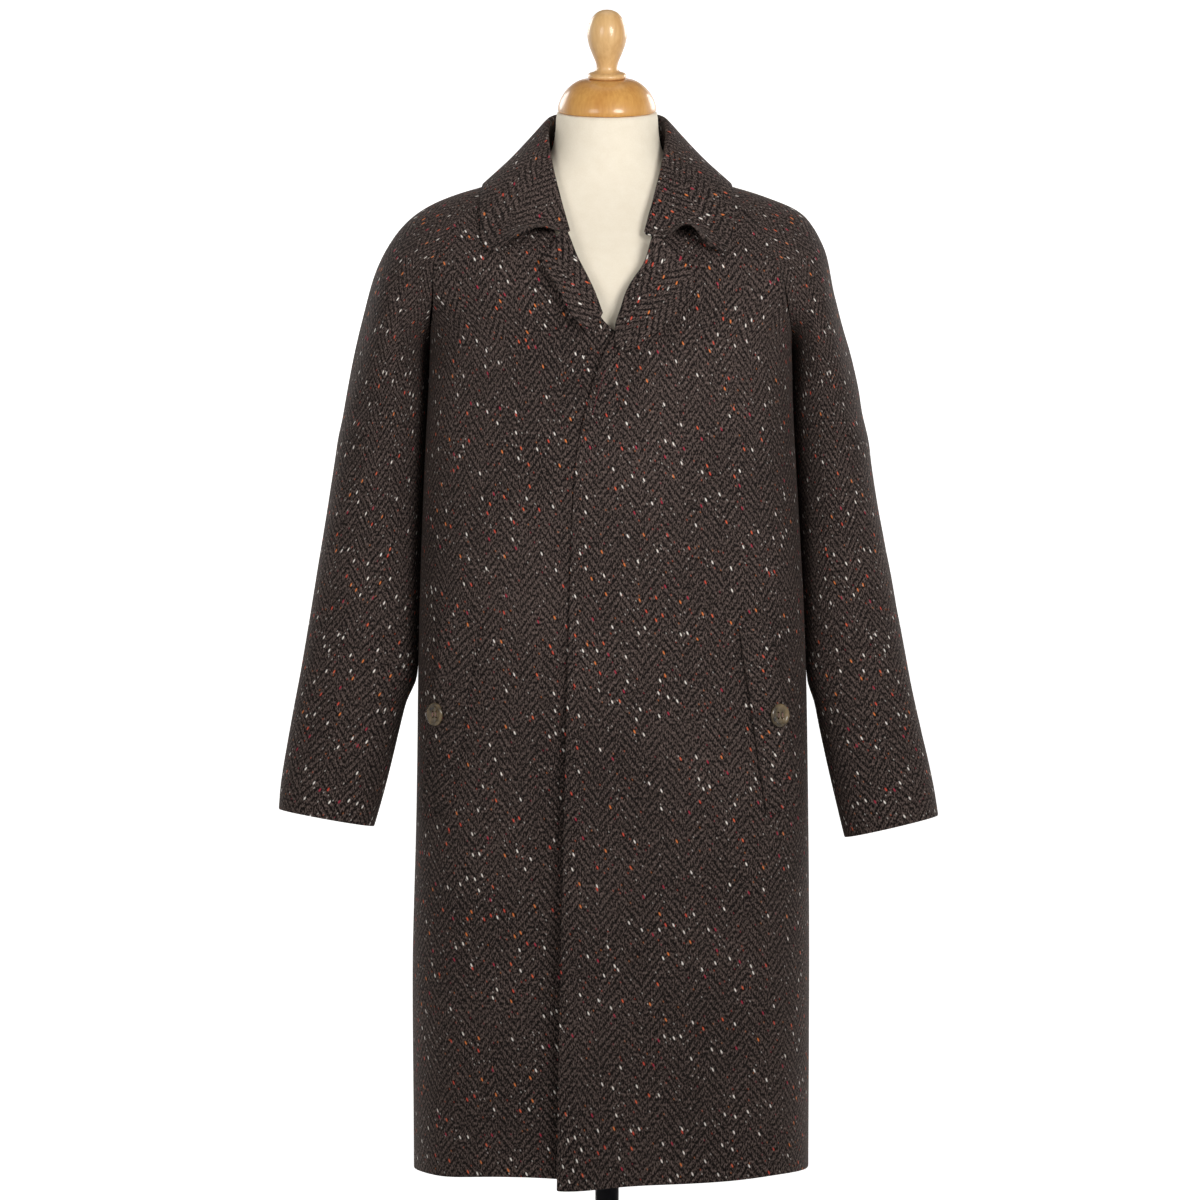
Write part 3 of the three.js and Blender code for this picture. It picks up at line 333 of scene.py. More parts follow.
@dataclass(frozen=True)
class BodyShape:
    """Plan sections of the coat's body, in millimetres, as in the solids."""

    rows: tuple[tuple[float, float, float, float, float, float], ...] = (
        # height, left, right, front, back, square
        (398, 221, 212, 164, 170, 3.0),
        (614, 222, 214, 158, 156, 3.1),
        (856, 220, 208, 151, 142, 3.2),
        (1110, 211, 203, 147, 133, 3.1),
        (1302, 203, 194.5, 145, 136, 2.9),
        (1345, 220, 214, 140, 138, 2.8),
        (1393, 240, 250, 121, 133, 2.6),
        (1428, 225.5, 231, 97, 122, 2.5),
        (1461, 186, 185, 74, 105, 2.3),
        (1486, 106, 106, 59, 87, 2.2),
    )
    reference: tuple[float, float, float] = (215.0, 148.0, 3.0)

    def column(self, index: int, height: np.ndarray) -> np.ndarray:
        """Reads one column of the sections at each height."""
        return np.interp(height, [row[0] for row in self.rows], [row[index] for row in self.rows])

    def turn(self, places: np.ndarray) -> np.ndarray:
        """Gives each place's turn from the side, 90 degrees at the middle of the front or back.

        Args:
            places: Places in millimetres, a row each.

        Returns:
            The turns in radians.
        """
        x, y, z = places.T
        wide = np.where(x < 0, self.column(2, z), self.column(1, z))
        deep = np.where(y < 0, self.column(3, z), self.column(4, z))
        return np.arctan2(np.abs(y) / deep, np.abs(x) / wide)

    def outward(self, places: np.ndarray) -> np.ndarray:
        """Gives the direction out of the body at each place.

        Args:
            places: Places in millimetres, a row each.

        Returns:
            Unit vectors, a row each.
        """
        x, y, z = places.T
        wide = np.where(x < 0, self.column(2, z), self.column(1, z))
        deep = np.where(y < 0, self.column(3, z), self.column(4, z))
        power = self.column(5, z) - 1
        way = np.stack([np.sign(x) * (np.abs(x) / wide) ** power / wide,
                        np.sign(y) * (np.abs(y) / deep) ** power / deep,
                        ease(z, 1360, 1470) * 0.006], axis=1)
        return way / np.maximum(np.linalg.norm(way, axis=1, keepdims=True), 1e-9)

    def around(self, places: np.ndarray) -> np.ndarray:
        """Measures the cloth's way round the body from the middle of the front or back.

        Args:
            places: Places in millimetres, a row each.

        Returns:
            Lengths in millimetres, negative on the wearer's right.
        """
        wide, deep, power = self.reference
        turns = np.radians(np.linspace(0, 90, 181))
        scale = (np.cos(turns) ** power + np.sin(turns) ** power) ** (-1 / power)
        line = np.stack([wide * np.cos(turns) * scale, deep * np.sin(turns) * scale], axis=1)
        steps = np.linalg.norm(np.diff(line, axis=0), axis=1)
        length = np.concatenate([[0], np.cumsum(steps)])
        ring = length[-1] - np.interp(self.turn(places), turns, length)
        flat = np.abs(places[:, 0]) * 1.02
        share = ease(places[:, 2], 1300, 1385)
        return np.sign(places[:, 0]) * (ring * (1 - share) + flat * share)


@dataclass(frozen=True)
class SleeveShape:
    """Sections across a sleeve, in millimetres, from the neck to the cuff, for the left one."""

    rows: tuple[tuple[float, float, float, float, float, float, float], ...] = (
        # ridge x, ridge height, inner x, inner height, centre's share towards the middle, depth, forward
        (80, 1500, 90, 1474, 0.0, 60, 0),
        (124, 1479, 130, 1455, 0.0, 72, 0),
        (190, 1460, 158, 1430, 0.0, 90, 0),
        (237, 1406, 188, 1383, 0.0, 102, 0),
        (252, 1357, 192, 1337, 0.35, 96, 0),
        (262, 1314, 200, 1308, 0.85, 86, 0),
        (272, 1275, 204, 1276, 1.0, 80, 0),
        (296, 1131, 212, 1124, 1.0, 70, 7),
        (317, 1021, 217, 1010, 1.0, 61, 14),
        (337, 911, 229, 896, 1.0, 52, 23),
        (360, 786, 258, 762, 1.0, 43, 34),
    )

    def frames(self, places: np.ndarray) -> dict[str, np.ndarray]:
        """Finds each place's section and where it lies in it.

        Args:
            places: Places in millimetres, a row each.

        Returns:
            Its way along the sleeve, its turn from the ridge, its reach round the sleeve
            and the direction out of it.
        """
        x, y, z = np.abs(places[:, 0]), places[:, 1], places[:, 2]
        table = np.array(self.rows, float)
        ridge, inner = table[:, 0:2], table[:, 2:4]
        middle = (ridge + inner) / 2
        centre = inner + (middle - inner) * table[:, 4:5]
        cross = (ridge - inner) / np.linalg.norm(ridge - inner, axis=1, keepdims=True)
        square = np.stack([cross[:, 1], -cross[:, 0]], axis=1)
        ahead = np.stack([(x[:, None] - middle[:, 0]) * square[:, 0] + (z[:, None] - middle[:, 1]) * square[:, 1]])[0]
        last = len(table) - 1 - np.argmax(ahead[:, ::-1] > 0, axis=1)
        first = np.clip(np.where((ahead > 0).any(axis=1), last, 0), 0, len(table) - 2)
        rows = np.arange(len(x))
        before, after = ahead[rows, first], ahead[rows, first + 1]
        part = np.clip(before / np.where(np.abs(before - after) < 1e-6, 1e-6, before - after), 0, 1)
        station = first + part
        steps = np.concatenate([[0], np.cumsum(np.linalg.norm(np.diff(middle, axis=0), axis=1))])
        read = lambda values: np.interp(station, np.arange(len(table)), values)
        cx, cz = read(centre[:, 0]), read(centre[:, 1])
        half = read(np.linalg.norm(ridge - centre, axis=1))
        deep = read(table[:, 5])
        wx, wz = read(cross[:, 0]), read(cross[:, 1])
        out = (x - cx) * wx + (z - cz) * wz
        side = y + read(table[:, 6])
        turn = np.arctan2(np.abs(side) / deep, out / half)
        way = np.stack([np.sign(places[:, 0]) * wx * np.cos(turn) / half, np.sign(side) * np.sin(turn) / deep,
                        wz * np.cos(turn) / half], axis=1)
        way /= np.maximum(np.linalg.norm(way, axis=1, keepdims=True), 1e-9)
        return {"along": read(steps), "turn": turn, "round": turn * np.sqrt((half ** 2 + deep ** 2) / 2), "way": way}


BODY = BodyShape()
SLEEVE = SleeveShape()


@dataclass(frozen=True)
class Fold:
    """A soft ridge, or a trough where its depth is negative, seen from the front in millimetres."""

    start: tuple[float, float]
    end: tuple[float, float]
    width: float
    depth: float
    bow: float = 0.0

    def rise(self, across: np.ndarray, height: np.ndarray) -> np.ndarray:
        """Works out how far the fold lifts each place.

        Args:
            across: Places' x, in millimetres.
            height: Places' z, in millimetres.

        Returns:
            The lift in millimetres.
        """
        run = np.array(self.end, float) - np.array(self.start, float)
        length = float(np.hypot(*run))
        run /= length
        x, z = across - self.start[0], height - self.start[1]
        part = np.clip((x * run[0] + z * run[1]) / length, -0.4, 1.4)
        away = z * run[0] - x * run[1] - self.bow * 4 * part * (1 - part)
        taper = ease(part, -0.12, 0.3) * (1 - ease(part, 0.62, 1.12))
        return self.depth * np.exp(-(away / self.width) ** 2) * taper


RAGLAN_SEAMS = tuple(
    Fold((side * start[0], start[1]), (side * end[0], end[1]), 3.5, -1.5)
    for side, start, end in (
        (-1, (137, 1448), (176, 1415)), (-1, (178, 1414), (189, 1370)), (-1, (189, 1376), (190, 1300)),
        (1, (137, 1447), (178, 1423)), (1, (176, 1425), (190, 1385)), (1, (189, 1390), (200, 1330)))
)
POCKET_GROOVES = (
    Fold((138, 1000), (168, 786), 5, -1.6), Fold((168, 790), (208, 799), 4, -1.6), Fold((136, 998), (178, 1007), 4, -1.2),
    Fold((-132, 1000), (-164, 786), 5, -1.6), Fold((-164, 788), (-203, 801), 4, -1.6),
    Fold((-132, 1000), (-178, 1006), 4, -1.2),
)
FRONT_FOLDS = (
    *RAGLAN_SEAMS,
    *POCKET_GROOVES,
    Fold((34, 1300), (-2, 1206), 10, -6.0, 4),
    Fold((50, 1300), (18, 1218), 12, 3.4, 4),
    Fold((-44, 1200), (-48, 900), 22, 1.4),
    Fold((60, 900), (70, 420), 60, 2.2),
    Fold((120, 760), (128, 410), 40, -2.6, 6),
    Fold((-115, 800), (-118, 410), 34, -2.4, -5),
    Fold((165, 1290), (110, 1180), 26, -2.2, 6),
    Fold((-160, 1290), (-110, 1170), 26, -2.4, -6),
    Fold((150, 1240), (120, 1040), 30, 2.0, 4),
    Fold((-150, 1240), (-120, 1040), 30, 2.0, -4),
    Fold((175, 1180), (140, 1120), 16, -1.6, 3),
    Fold((-172, 1170), (-140, 1105), 16, -1.6, -3),
    Fold((165, 780), (176, 440), 24, 2.2, -4),
    Fold((-160, 780), (-170, 440), 24, 2.2, 4),
)
OVER_FOLDS = (
    *FRONT_FOLDS,
    Fold((-24, 1120), (-30, 740), 16, 1.6),
    Fold((26.5, 1215), (22.5, 760), 3.5, -1.3),
    Fold((-32, 900), (-42, 380), 22, 8.0),
    Fold((106, 1352), (34, 1270), 9, -4.5, -4),
)
UNDER_FOLDS = (
    *FRONT_FOLDS,
    Fold((-54, 960), (-66, 380), 26, -6.5),
    Fold((-88, 1394), (-10, 1268), 9, -4.5, -3),
)
BACK_FOLDS = (
    Fold((-150, 1280), (-95, 1130), 28, -3.0, -8),
    Fold((150, 1290), (98, 1150), 28, -3.0, 8),
    Fold((-60, 1180), (-74, 760), 34, 2.4, 5),
    Fold((64, 1160), (80, 730), 34, 2.4, -5),
    Fold((0, 1330), (0, 1240), 60, -1.6),
    Fold((-120, 820), (-140, 410), 26, 3.0, 5),
    Fold((126, 800), (148, 410), 26, 3.0, -5),
    Fold((-30, 700), (-42, 410), 30, 2.6, 4),
    Fold((34, 760), (44, 410), 30, 2.4, -4),
)
LEFT_SLEEVE_FOLDS = (
    *RAGLAN_SEAMS[3:],
    Fold((196, 1464), (252, 1372), 24, 5.0, 6),
    Fold((212, 1270), (282, 1215), 13, -3.6, 4),
    Fold((216, 1232), (290, 1182), 12, 2.4, 4),
    Fold((222, 1100), (300, 1062), 15, -3.2, 4),
    Fold((224, 1068), (306, 1036), 13, 2.6, 3),
    Fold((230, 1030), (316, 1004), 14, -3.2, 4),
    Fold((236, 985), (300, 972), 12, 2.2, 3),
    Fold((240, 930), (330, 925), 14, -2.2, 3),
    Fold((262, 880), (344, 862), 13, -1.6, 3),
    Fold((268, 1330), (300, 1130), 16, 1.6, 2),
    Fold((276, 820), (354, 812), 10, 1.0),
)
RIGHT_SLEEVE_FOLDS = RAGLAN_SEAMS[:3] + tuple(
    Fold((-fold.start[0], fold.start[1] + shift), (-fold.end[0] - 3, fold.end[1] + shift * 0.6),
         fold.width * size, fold.depth * size, -fold.bow)
    for fold, shift, size in zip(LEFT_SLEEVE_FOLDS[4:], (-6, 4, 14, 10, -12, 6, 12, -8, 0, 6),
                                 (0.9, 1.1, 0.85, 1.15, 1.0, 0.9, 1.2, 0.9, 1.0, 1.1))
)


@dataclass(frozen=True)
class Pull:
    """A soft push or pull on the cloth's front about one spot, in millimetres."""

    spot: tuple[float, float]
    size: tuple[float, float]
    shift: tuple[float, float, float]

    def move(self, places: np.ndarray) -> np.ndarray:
        """Works out how far each place is moved.

        Args:
            places: Places in millimetres, a row each.

        Returns:
            The moves, a row each.
        """
        x, y, z = places.T
        away = ((x - self.spot[0]) / self.size[0]) ** 2 + ((z - self.spot[1]) / self.size[1]) ** 2
        share = np.exp(-away) * (y < 0)
        return share[:, None] * np.array(self.shift)


# The over front drops to a corner at its edge, and the under front rises beside it.
OVER_PULLS = (Pull((-44, 398), (62, 60), (0, 0, -9.5)), Pull((60, 398), (60, 50), (0, 0, -2)),
              Pull((200, 398), (50, 50), (0, 0, 5)))
UNDER_PULLS = (Pull((-110, 398), (70, 50), (0, 0, 5)), Pull((-205, 398), (24, 40), (0, 0, 3)))
# The collar's lower edge curls up and off the chest beside each lapel.
COLLAR_PULLS = (
    Pull((87, 1400), (20, 17), (0, -13, 25)),
    Pull((112, 1398), (10, 12), (-4, -2, 4)),
    Pull((-75, 1404), (29, 15), (0, -14, 18)),
    Pull((-100, 1404), (16, 14), (0, -3, 2)),
)
LEFT_LAPEL_PULLS = (Pull((50, 1404), (18, 14), (0, -1, 10)),)
RIGHT_LAPEL_PULLS = (Pull((-46, 1408), (18, 14), (0, -1, 10)),)
LEFT_LAPEL_FOLDS = (Fold((98, 1358), (20, 1282), 9, 8.0, -4), Fold((66, 1392), (24, 1320), 14, 2.4))
RIGHT_LAPEL_FOLDS = (Fold((-78, 1396), (0, 1276), 8, 8.5, -3), Fold((-44, 1380), (2, 1318), 12, 2.4))


@dataclass
class ClothPiece:
    """One cut piece of the coat, as a thin smooth shell on its solid."""

    node: str
    grain: Grain
    flat: tuple[float, float]
    area: float
    cloth: bpy.types.Material
    rests_on: tuple[str, ...] = ("form_torso",)
    folds: tuple[Fold, ...] = ()
    levels: int = 2
    edge: float = 0.75
    held: str = "hung"
    turn: float = 0.0
    pulls: tuple[Pull, ...] = ()
    beside: tuple[bpy.types.Object, ...] = ()

    def build(self) -> bpy.types.Object:
        """Builds the piece over its solid.

        Returns:
            The dressed piece.
        """
        mesh = smooth_copy(self.node, self.levels, self.edge)
        places = read_places(mesh)
        across, along, way = self.measure(places)
        lift = sum((fold.rise(places[:, 0], places[:, 2]) for fold in self.folds), np.zeros(len(places)))
        moved = places + way * lift[:, None]
        for pull in self.pulls:
            moved += pull.move(places)
        if self.beside:
            moved[:, 0] -= np.sign(places[:, 0]) * self.hug(moved)
        write_places(mesh, moved)
        write_map(mesh, across, along)
        piece = finish_piece(self.node + "_cloth", mesh, self.cloth, self.node)
        return piece

    def hug(self, places: np.ndarray) -> np.ndarray:
        """Finds how far the sleeve's inner side moves to lie against the coat's side.

        Args:
            places: Places in millimetres, a row each.

        Returns:
            The moves towards the body, in millimetres.
        """
        levels = np.arange(890.0, 1320.0, 10.0)
        side = np.sign(places[:, 0].mean())
        body = np.concatenate([read_places(piece.data) for piece in self.beside])
        inner = np.array([np.min(side * places[np.abs(places[:, 2] - level) < 7, 0]) for level in levels])
        outer = np.array([np.max(side * body[np.abs(body[:, 2] - level) < 7, 0]) for level in levels])
        gap = np.interp(places[:, 2], levels, np.clip(inner - outer + 0.5, 0, 7))
        gap *= ease(places[:, 2], 905, 945) * (1 - ease(places[:, 2], 1290, 1312))
        return gap * ease(SLEEVE.frames(places)["turn"], 1.5, 2.9)

    def measure(self, places: np.ndarray) -> tuple[np.ndarray, np.ndarray, np.ndarray]:
        """Finds where each place lies on the cloth, and the direction out of it.

        Args:
            places: Places in millimetres, a row each.

        Returns:
            Place across the columns and along them, in millimetres, and unit vectors.
        """
        x, y, z = places.T
        way = BODY.outward(places)
        if self.grain is Grain.BODY:
            return BODY.around(places) + (9 if y.mean() < 0 else 0), z + 0.3 * np.maximum(z - 1393, 0), way
        if self.grain is Grain.SLEEVE:
            frames = SLEEVE.frames(places)
            return frames["round"] * np.sign(y.mean()), -frames["along"], frames["way"]
        if self.grain is Grain.COLLAR:
            angle = np.arctan2(x, -(y - 15))
            return angle * 118, z * 0.75 - np.hypot(x, y) * 0.66, way
        turn = math.radians(self.turn)
        return x * math.cos(turn) + z * math.sin(turn), z * math.cos(turn) - x * math.sin(turn), way


def smooth_copy(node: str, levels: int, edge: float) -> bpy.types.Mesh:
    """Copies a solid as a smooth, finer mesh with softly kept edges.

    Args:
        node: The solid's name.
        levels: How many times each face is divided.
        edge: How sharp its edges stay, from 0 to 1.

    Returns:
        The new mesh, in metres.
    """
    net = bmesh.new()
    net.from_mesh(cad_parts[node].data)
    bmesh.ops.remove_doubles(net, verts=net.verts, dist=0.02 * MM)
    bmesh.ops.join_triangles(net, faces=net.faces, angle_face_threshold=math.pi, angle_shape_threshold=math.pi)
    crease = net.edges.layers.float.new("crease_edge")
    for line in net.edges:
        if line.calc_face_angle(0) > math.radians(52):
            line[crease] = edge
    mesh = bpy.data.meshes.new(node + "_net")
    net.to_mesh(mesh)
    net.free()
    holder = bpy.data.objects.new(node + "_net", mesh)
    bpy.context.scene.collection.objects.link(holder)
    divide = holder.modifiers.new("divide", "SUBSURF")
    divide.levels = levels
    divide.render_levels = levels
    result = bpy.data.meshes.new_from_object(holder.evaluated_get(bpy.context.evaluated_depsgraph_get()))
    bpy.data.objects.remove(holder)
    return result


def read_places(mesh: bpy.types.Mesh) -> np.ndarray:
    """Reads a mesh's points in millimetres."""
    flat = np.zeros(len(mesh.vertices) * 3)
    mesh.vertices.foreach_get("co", flat)
    return flat.reshape(-1, 3) / MM


def write_places(mesh: bpy.types.Mesh, places: np.ndarray) -> None:
    """Writes a mesh's points from millimetres."""
    mesh.vertices.foreach_set("co", (places * MM).ravel())
    mesh.update()


def write_map(mesh: bpy.types.Mesh, across: np.ndarray, along: np.ndarray) -> None:
    """Stores each point's place on the cloth, in metres, as the map named cloth.

    Args:
        mesh: The mesh.
        across: Place across the columns, in millimetres.
        along: Place along them, in millimetres.
    """
    corners = np.zeros(len(mesh.loops), dtype=np.int32)
    mesh.loops.foreach_get("vertex_index", corners)
    layer = mesh.uv_layers.new(name="cloth")
    layer.data.foreach_set("uv", (np.stack([across, along], axis=1)[corners] * MM).ravel())


def finish_piece(name: str, mesh: bpy.types.Mesh, material: bpy.types.Material,
                 node: str | None = None) -> bpy.types.Object:
    """Puts a mesh in the scene as a piece of the coat or its stand.

    Args:
        name: The piece's name.
        mesh: Its mesh, in metres.
        material: Its finish.
        node: The solid that it stands for, if any.

    Returns:
        The piece.
    """
    piece = bpy.data.objects.new(name, mesh)
    bpy.context.scene.collection.objects.link(piece)
    mesh.materials.clear()
    mesh.materials.append(material)
    mesh.polygons.foreach_set("use_smooth", [True] * len(mesh.polygons))
    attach(piece, "root")
    if node:
        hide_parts(node)
    LOG.info("built %s with %d faces", name, len(mesh.polygons))
    return piece


def surface_of(*pieces: bpy.types.Object) -> BVHTree:
    """Makes a search tree of the surfaces of some pieces."""
    points: list[Vector] = []
    faces: list[list[int]] = []
    for piece in pieces:
        start = len(points)
        points.extend(vertex.co.copy() for vertex in piece.data.vertices)
        faces.extend([start + index for index in face.vertices] for face in piece.data.polygons)
    return BVHTree.FromPolygons(points, faces)


def drop(surface: BVHTree, x: float, z: float) -> tuple[Vector, Vector]:
    """Finds the front of a surface at a place seen from the front.

    Args:
        surface: The surface's search tree.
        x: Place across, in millimetres.
        z: Its height, in millimetres.

    Returns:
        The point and the direction out of the surface there.
    """
    point, normal, _, _ = surface.ray_cast(Vector((x * MM, -1.0, z * MM)), Vector((0, 1, 0)))
    if point is None:
        point, normal = Vector((x * MM, -0.15, z * MM)), Vector((0, -1, 0))
    return point, (normal if normal.y < 0 else -normal)


def add_rod(net: bmesh.types.BMesh, points: list[Vector], radius: float, sides: int = 6) -> None:
    """Adds a thin round rod with rounded ends along some points.

    Args:
        net: The mesh that it joins.
        points: The points that it follows, in metres.
        radius: Its radius, in metres.
        sides: How many sides it has.
    """
    rings = []
    for index, place in enumerate(points):
        ahead = points[min(index + 1, len(points) - 1)] - points[max(index - 1, 0)]
        ahead.normalize()
        across = ahead.orthogonal().normalized()
        up = ahead.cross(across)
        narrow = 0.45 if index in (0, len(points) - 1) else 1.0
        rings.append([net.verts.new(place + (across * math.cos(a) + up * math.sin(a)) * radius * narrow)
                      for a in (2 * math.pi * k / sides for k in range(sides))])
    for low, high in zip(rings, rings[1:]):
        for k in range(sides):
            net.faces.new((low[k], low[(k + 1) % sides], high[(k + 1) % sides], high[k]))
    net.faces.new(rings[0][::-1])
    net.faces.new(rings[-1])


def path_points(line: list[tuple[float, float]], pitch: float) -> list[tuple[float, float]]:
    """Spaces points evenly along a line seen from the front.

    Args:
        line: The line's corners, in millimetres.
        pitch: The spacing, in millimetres.

    Returns:
        The points.
    """
    corners = np.array(line, float)
    steps = np.concatenate([[0], np.cumsum(np.linalg.norm(np.diff(corners, axis=0), axis=1))])
    spots = np.arange(0, steps[-1], pitch)
    return list(zip(np.interp(spots, steps, corners[:, 0]), np.interp(spots, steps, corners[:, 1])))


@dataclass
class StitchLine:
    """A row of sewn stitches that lies on the cloth."""

    name: str
    line: list[tuple[float, float]]
    material: bpy.types.Material
    pitch: float = 4.2
    stitch: float = 3.0
    radius: float = 0.38
    sunk: float = 0.12

    def build(self, surface: BVHTree) -> bpy.types.Object:
        """Lays the stitches on the surface.

        Args:
            surface: Search tree of the cloth under them.

        Returns:
            The joined stitches.
        """
        net = bmesh.new()
        share = self.stitch / self.pitch
        spots = path_points(self.line, self.pitch)
        for (x, z), (nx, nz) in zip(spots, spots[1:]):
            ends = [(x, z), (x + (nx - x) * share / 2, z + (nz - z) * share / 2),
                    (x + (nx - x) * share, z + (nz - z) * share)]
            lifts = (-0.25, 0.3 - self.sunk, -0.25)
            points = []
            for (px, pz), lift in zip(ends, lifts):
                point, normal = drop(surface, px, pz)
                points.append(point + normal * lift * MM)
            add_rod(net, points, self.radius * MM)
        mesh = bpy.data.meshes.new(self.name)
        net.to_mesh(mesh)
        net.free()
        return finish_piece(self.name, mesh, self.material)


@dataclass
class Buttonhole:
    """A worked buttonhole: two lips of close stitches round a dark slit."""

    name: str
    start: tuple[float, float]
    end: tuple[float, float]
    material: bpy.types.Material
    lip: float = 1.5
    pitch: float = 0.75

    def build(self, surface: BVHTree) -> bpy.types.Object:
        """Works the buttonhole on the surface.

        Args:
            surface: Search tree of the cloth under it.

        Returns:
            The joined stitches.
        """
        net = bmesh.new()
        run = Vector((self.end[0] - self.start[0], self.end[1] - self.start[1]))
        length = run.length
        run.normalize()
        side = Vector((-run.y, run.x))
        count = int(length / self.pitch)
        for index in range(count + 1):
            middle = Vector(self.start) + run * (index * self.pitch)
            for sign in (-1, 1):
                points = []
                for away, lift in ((0.35, -0.2), (self.lip * 0.5, 0.42), (self.lip, -0.2)):
                    spot = middle + side * sign * away
                    point, normal = drop(surface, spot.x, spot.y)
                    points.append(point + normal * lift * MM)
                add_rod(net, points, 0.36 * MM, 5)
        mesh = bpy.data.meshes.new(self.name)
        net.to_mesh(mesh)
        net.free()
        return finish_piece(self.name, mesh, self.material)


@dataclass
class HornButton:
    """A four-hole horn button with its rim, dish and sewing thread."""

    node: str
    horn: bpy.types.Material
    thread: bpy.types.Material
    radius: float = 12.8
    height: float = 4.2
    hole: float = 1.4
    spread: float = 2.6
    profile: tuple[tuple[float, float], ...] = (
        (0.0, 0.0), (9.6, 0.0), (11.6, 0.5), (12.6, 1.6), (12.8, 2.6), (12.3, 3.6), (11.2, 4.2), (9.9, 4.15),
        (8.9, 3.6), (7.6, 3.0), (5.0, 2.85), (0.0, 2.85))

    def build(self) -> list[bpy.types.Object]:
        """Turns the button, drills it and sews it on.

        Returns:
            The button and its thread.
        """
        low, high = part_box(self.node)
        centre = (low + high) / 2
        way = Vector(BODY.outward(np.array([[c / MM for c in centre]]))[0])
        turn = way.to_track_quat("Z", "Y").to_matrix().to_4x4()
        seat = Matrix.Translation(centre - way * self.height / 2 * MM) @ turn
        disc = turned_mesh(self.node + "_disc", self.profile, 64)
        holder = bpy.data.objects.new(self.node + "_disc", disc)
        bpy.context.scene.collection.objects.link(holder)
        drills = []
        for x in (-self.spread, self.spread):
            for y in (-self.spread, self.spread):
                drill = bpy.data.objects.new("drill", turned_mesh("drill", (
                    (0.0, -2.0), (self.hole, -2.0), (self.hole, 2.6), (self.hole * 1.4, 3.2), (0.0, 3.2)), 20))
                drill.location = (x * MM, y * MM, 0)
                bpy.context.scene.collection.objects.link(drill)
                cut = holder.modifiers.new("drill", "BOOLEAN")
                cut.object = drill
                cut.operation = "DIFFERENCE"
                cut.solver = "EXACT"
                drills.append(drill)
        bpy.context.view_layer.update()
        mesh = bpy.data.meshes.new_from_object(holder.evaluated_get(bpy.context.evaluated_depsgraph_get()))
        for one in [holder, *drills]:
            bpy.data.objects.remove(one)
        mesh.transform(seat)
        button = finish_piece(self.node + "_horn", mesh, self.horn, self.node)
        net = bmesh.new()
        for offset in (-self.spread, self.spread):
            for strand in (-0.3, 0.3):
                ends = [Vector((offset + strand, y, z)) * MM for y, z in ((-2.6, 1.4), (-1.9, 3.1), (0, 3.5), (1.9, 3.1),
                                                                         (2.6, 1.4))]
                add_rod(net, [seat @ point for point in ends], 0.22 * MM)
        stitch = bpy.data.meshes.new(self.node + "_thread")
        net.to_mesh(stitch)
        net.free()
        return [button, finish_piece(self.node + "_thread", stitch, self.thread)]


def turned_mesh(name: str, profile: tuple[tuple[float, float], ...], segments: int) -> bpy.types.Mesh:
    """Turns a profile about the Z axis into a closed mesh.

    Args:
        name: The mesh's name.
        profile: Radius and height pairs in millimetres, from axis to axis.
        segments: How many steps it has round.

    Returns:
        The mesh, in metres.
    """
    net = bmesh.new()
    rings = []
    for radius, height in profile:
        if radius < 1e-6:
            rings.append([net.verts.new((0, 0, height * MM))])
            continue
        angles = (2 * math.pi * k / segments for k in range(segments))
        rings.append([net.verts.new((radius * math.cos(a) * MM, radius * math.sin(a) * MM, height * MM))
                      for a in angles])
    for low, high in zip(rings, rings[1:]):
        for k in range(segments):
            nearby = (k + 1) % segments
            corners = [low[k % len(low)], low[nearby % len(low)], high[nearby % len(high)], high[k % len(high)]]
            unique = list(dict.fromkeys(corners))
            if len(unique) > 2:
                net.faces.new(unique)
    bmesh.ops.recalc_face_normals(net, faces=net.faces)
    mesh = bpy.data.meshes.new(name)
    net.to_mesh(mesh)
    net.free()
    return mesh


def smooth_profile(corners: tuple[tuple[float, float], ...], steps: int) -> tuple[tuple[float, float], ...]:
    """Rounds a profile with a smooth curve through its corners.

    Args:
        corners: Radius and height pairs, in millimetres.
        steps: Points to each stretch.

    Returns:
        The finer profile.
    """
    line = np.array([corners[0], *corners, corners[-1]], float)
    points = []
    for before, start, end, after in zip(line, line[1:], line[2:], line[3:]):
        for part in np.arange(steps) / steps:
            points.append(0.5 * (2 * start + (end - before) * part
                                 + (2 * before - 5 * start + 4 * end - after) * part ** 2
                                 + (3 * start - before - 3 * end + after) * part ** 3))
    points.append(line[-1])
    return tuple((max(0.0, float(radius)), float(height)) for radius, height in points)


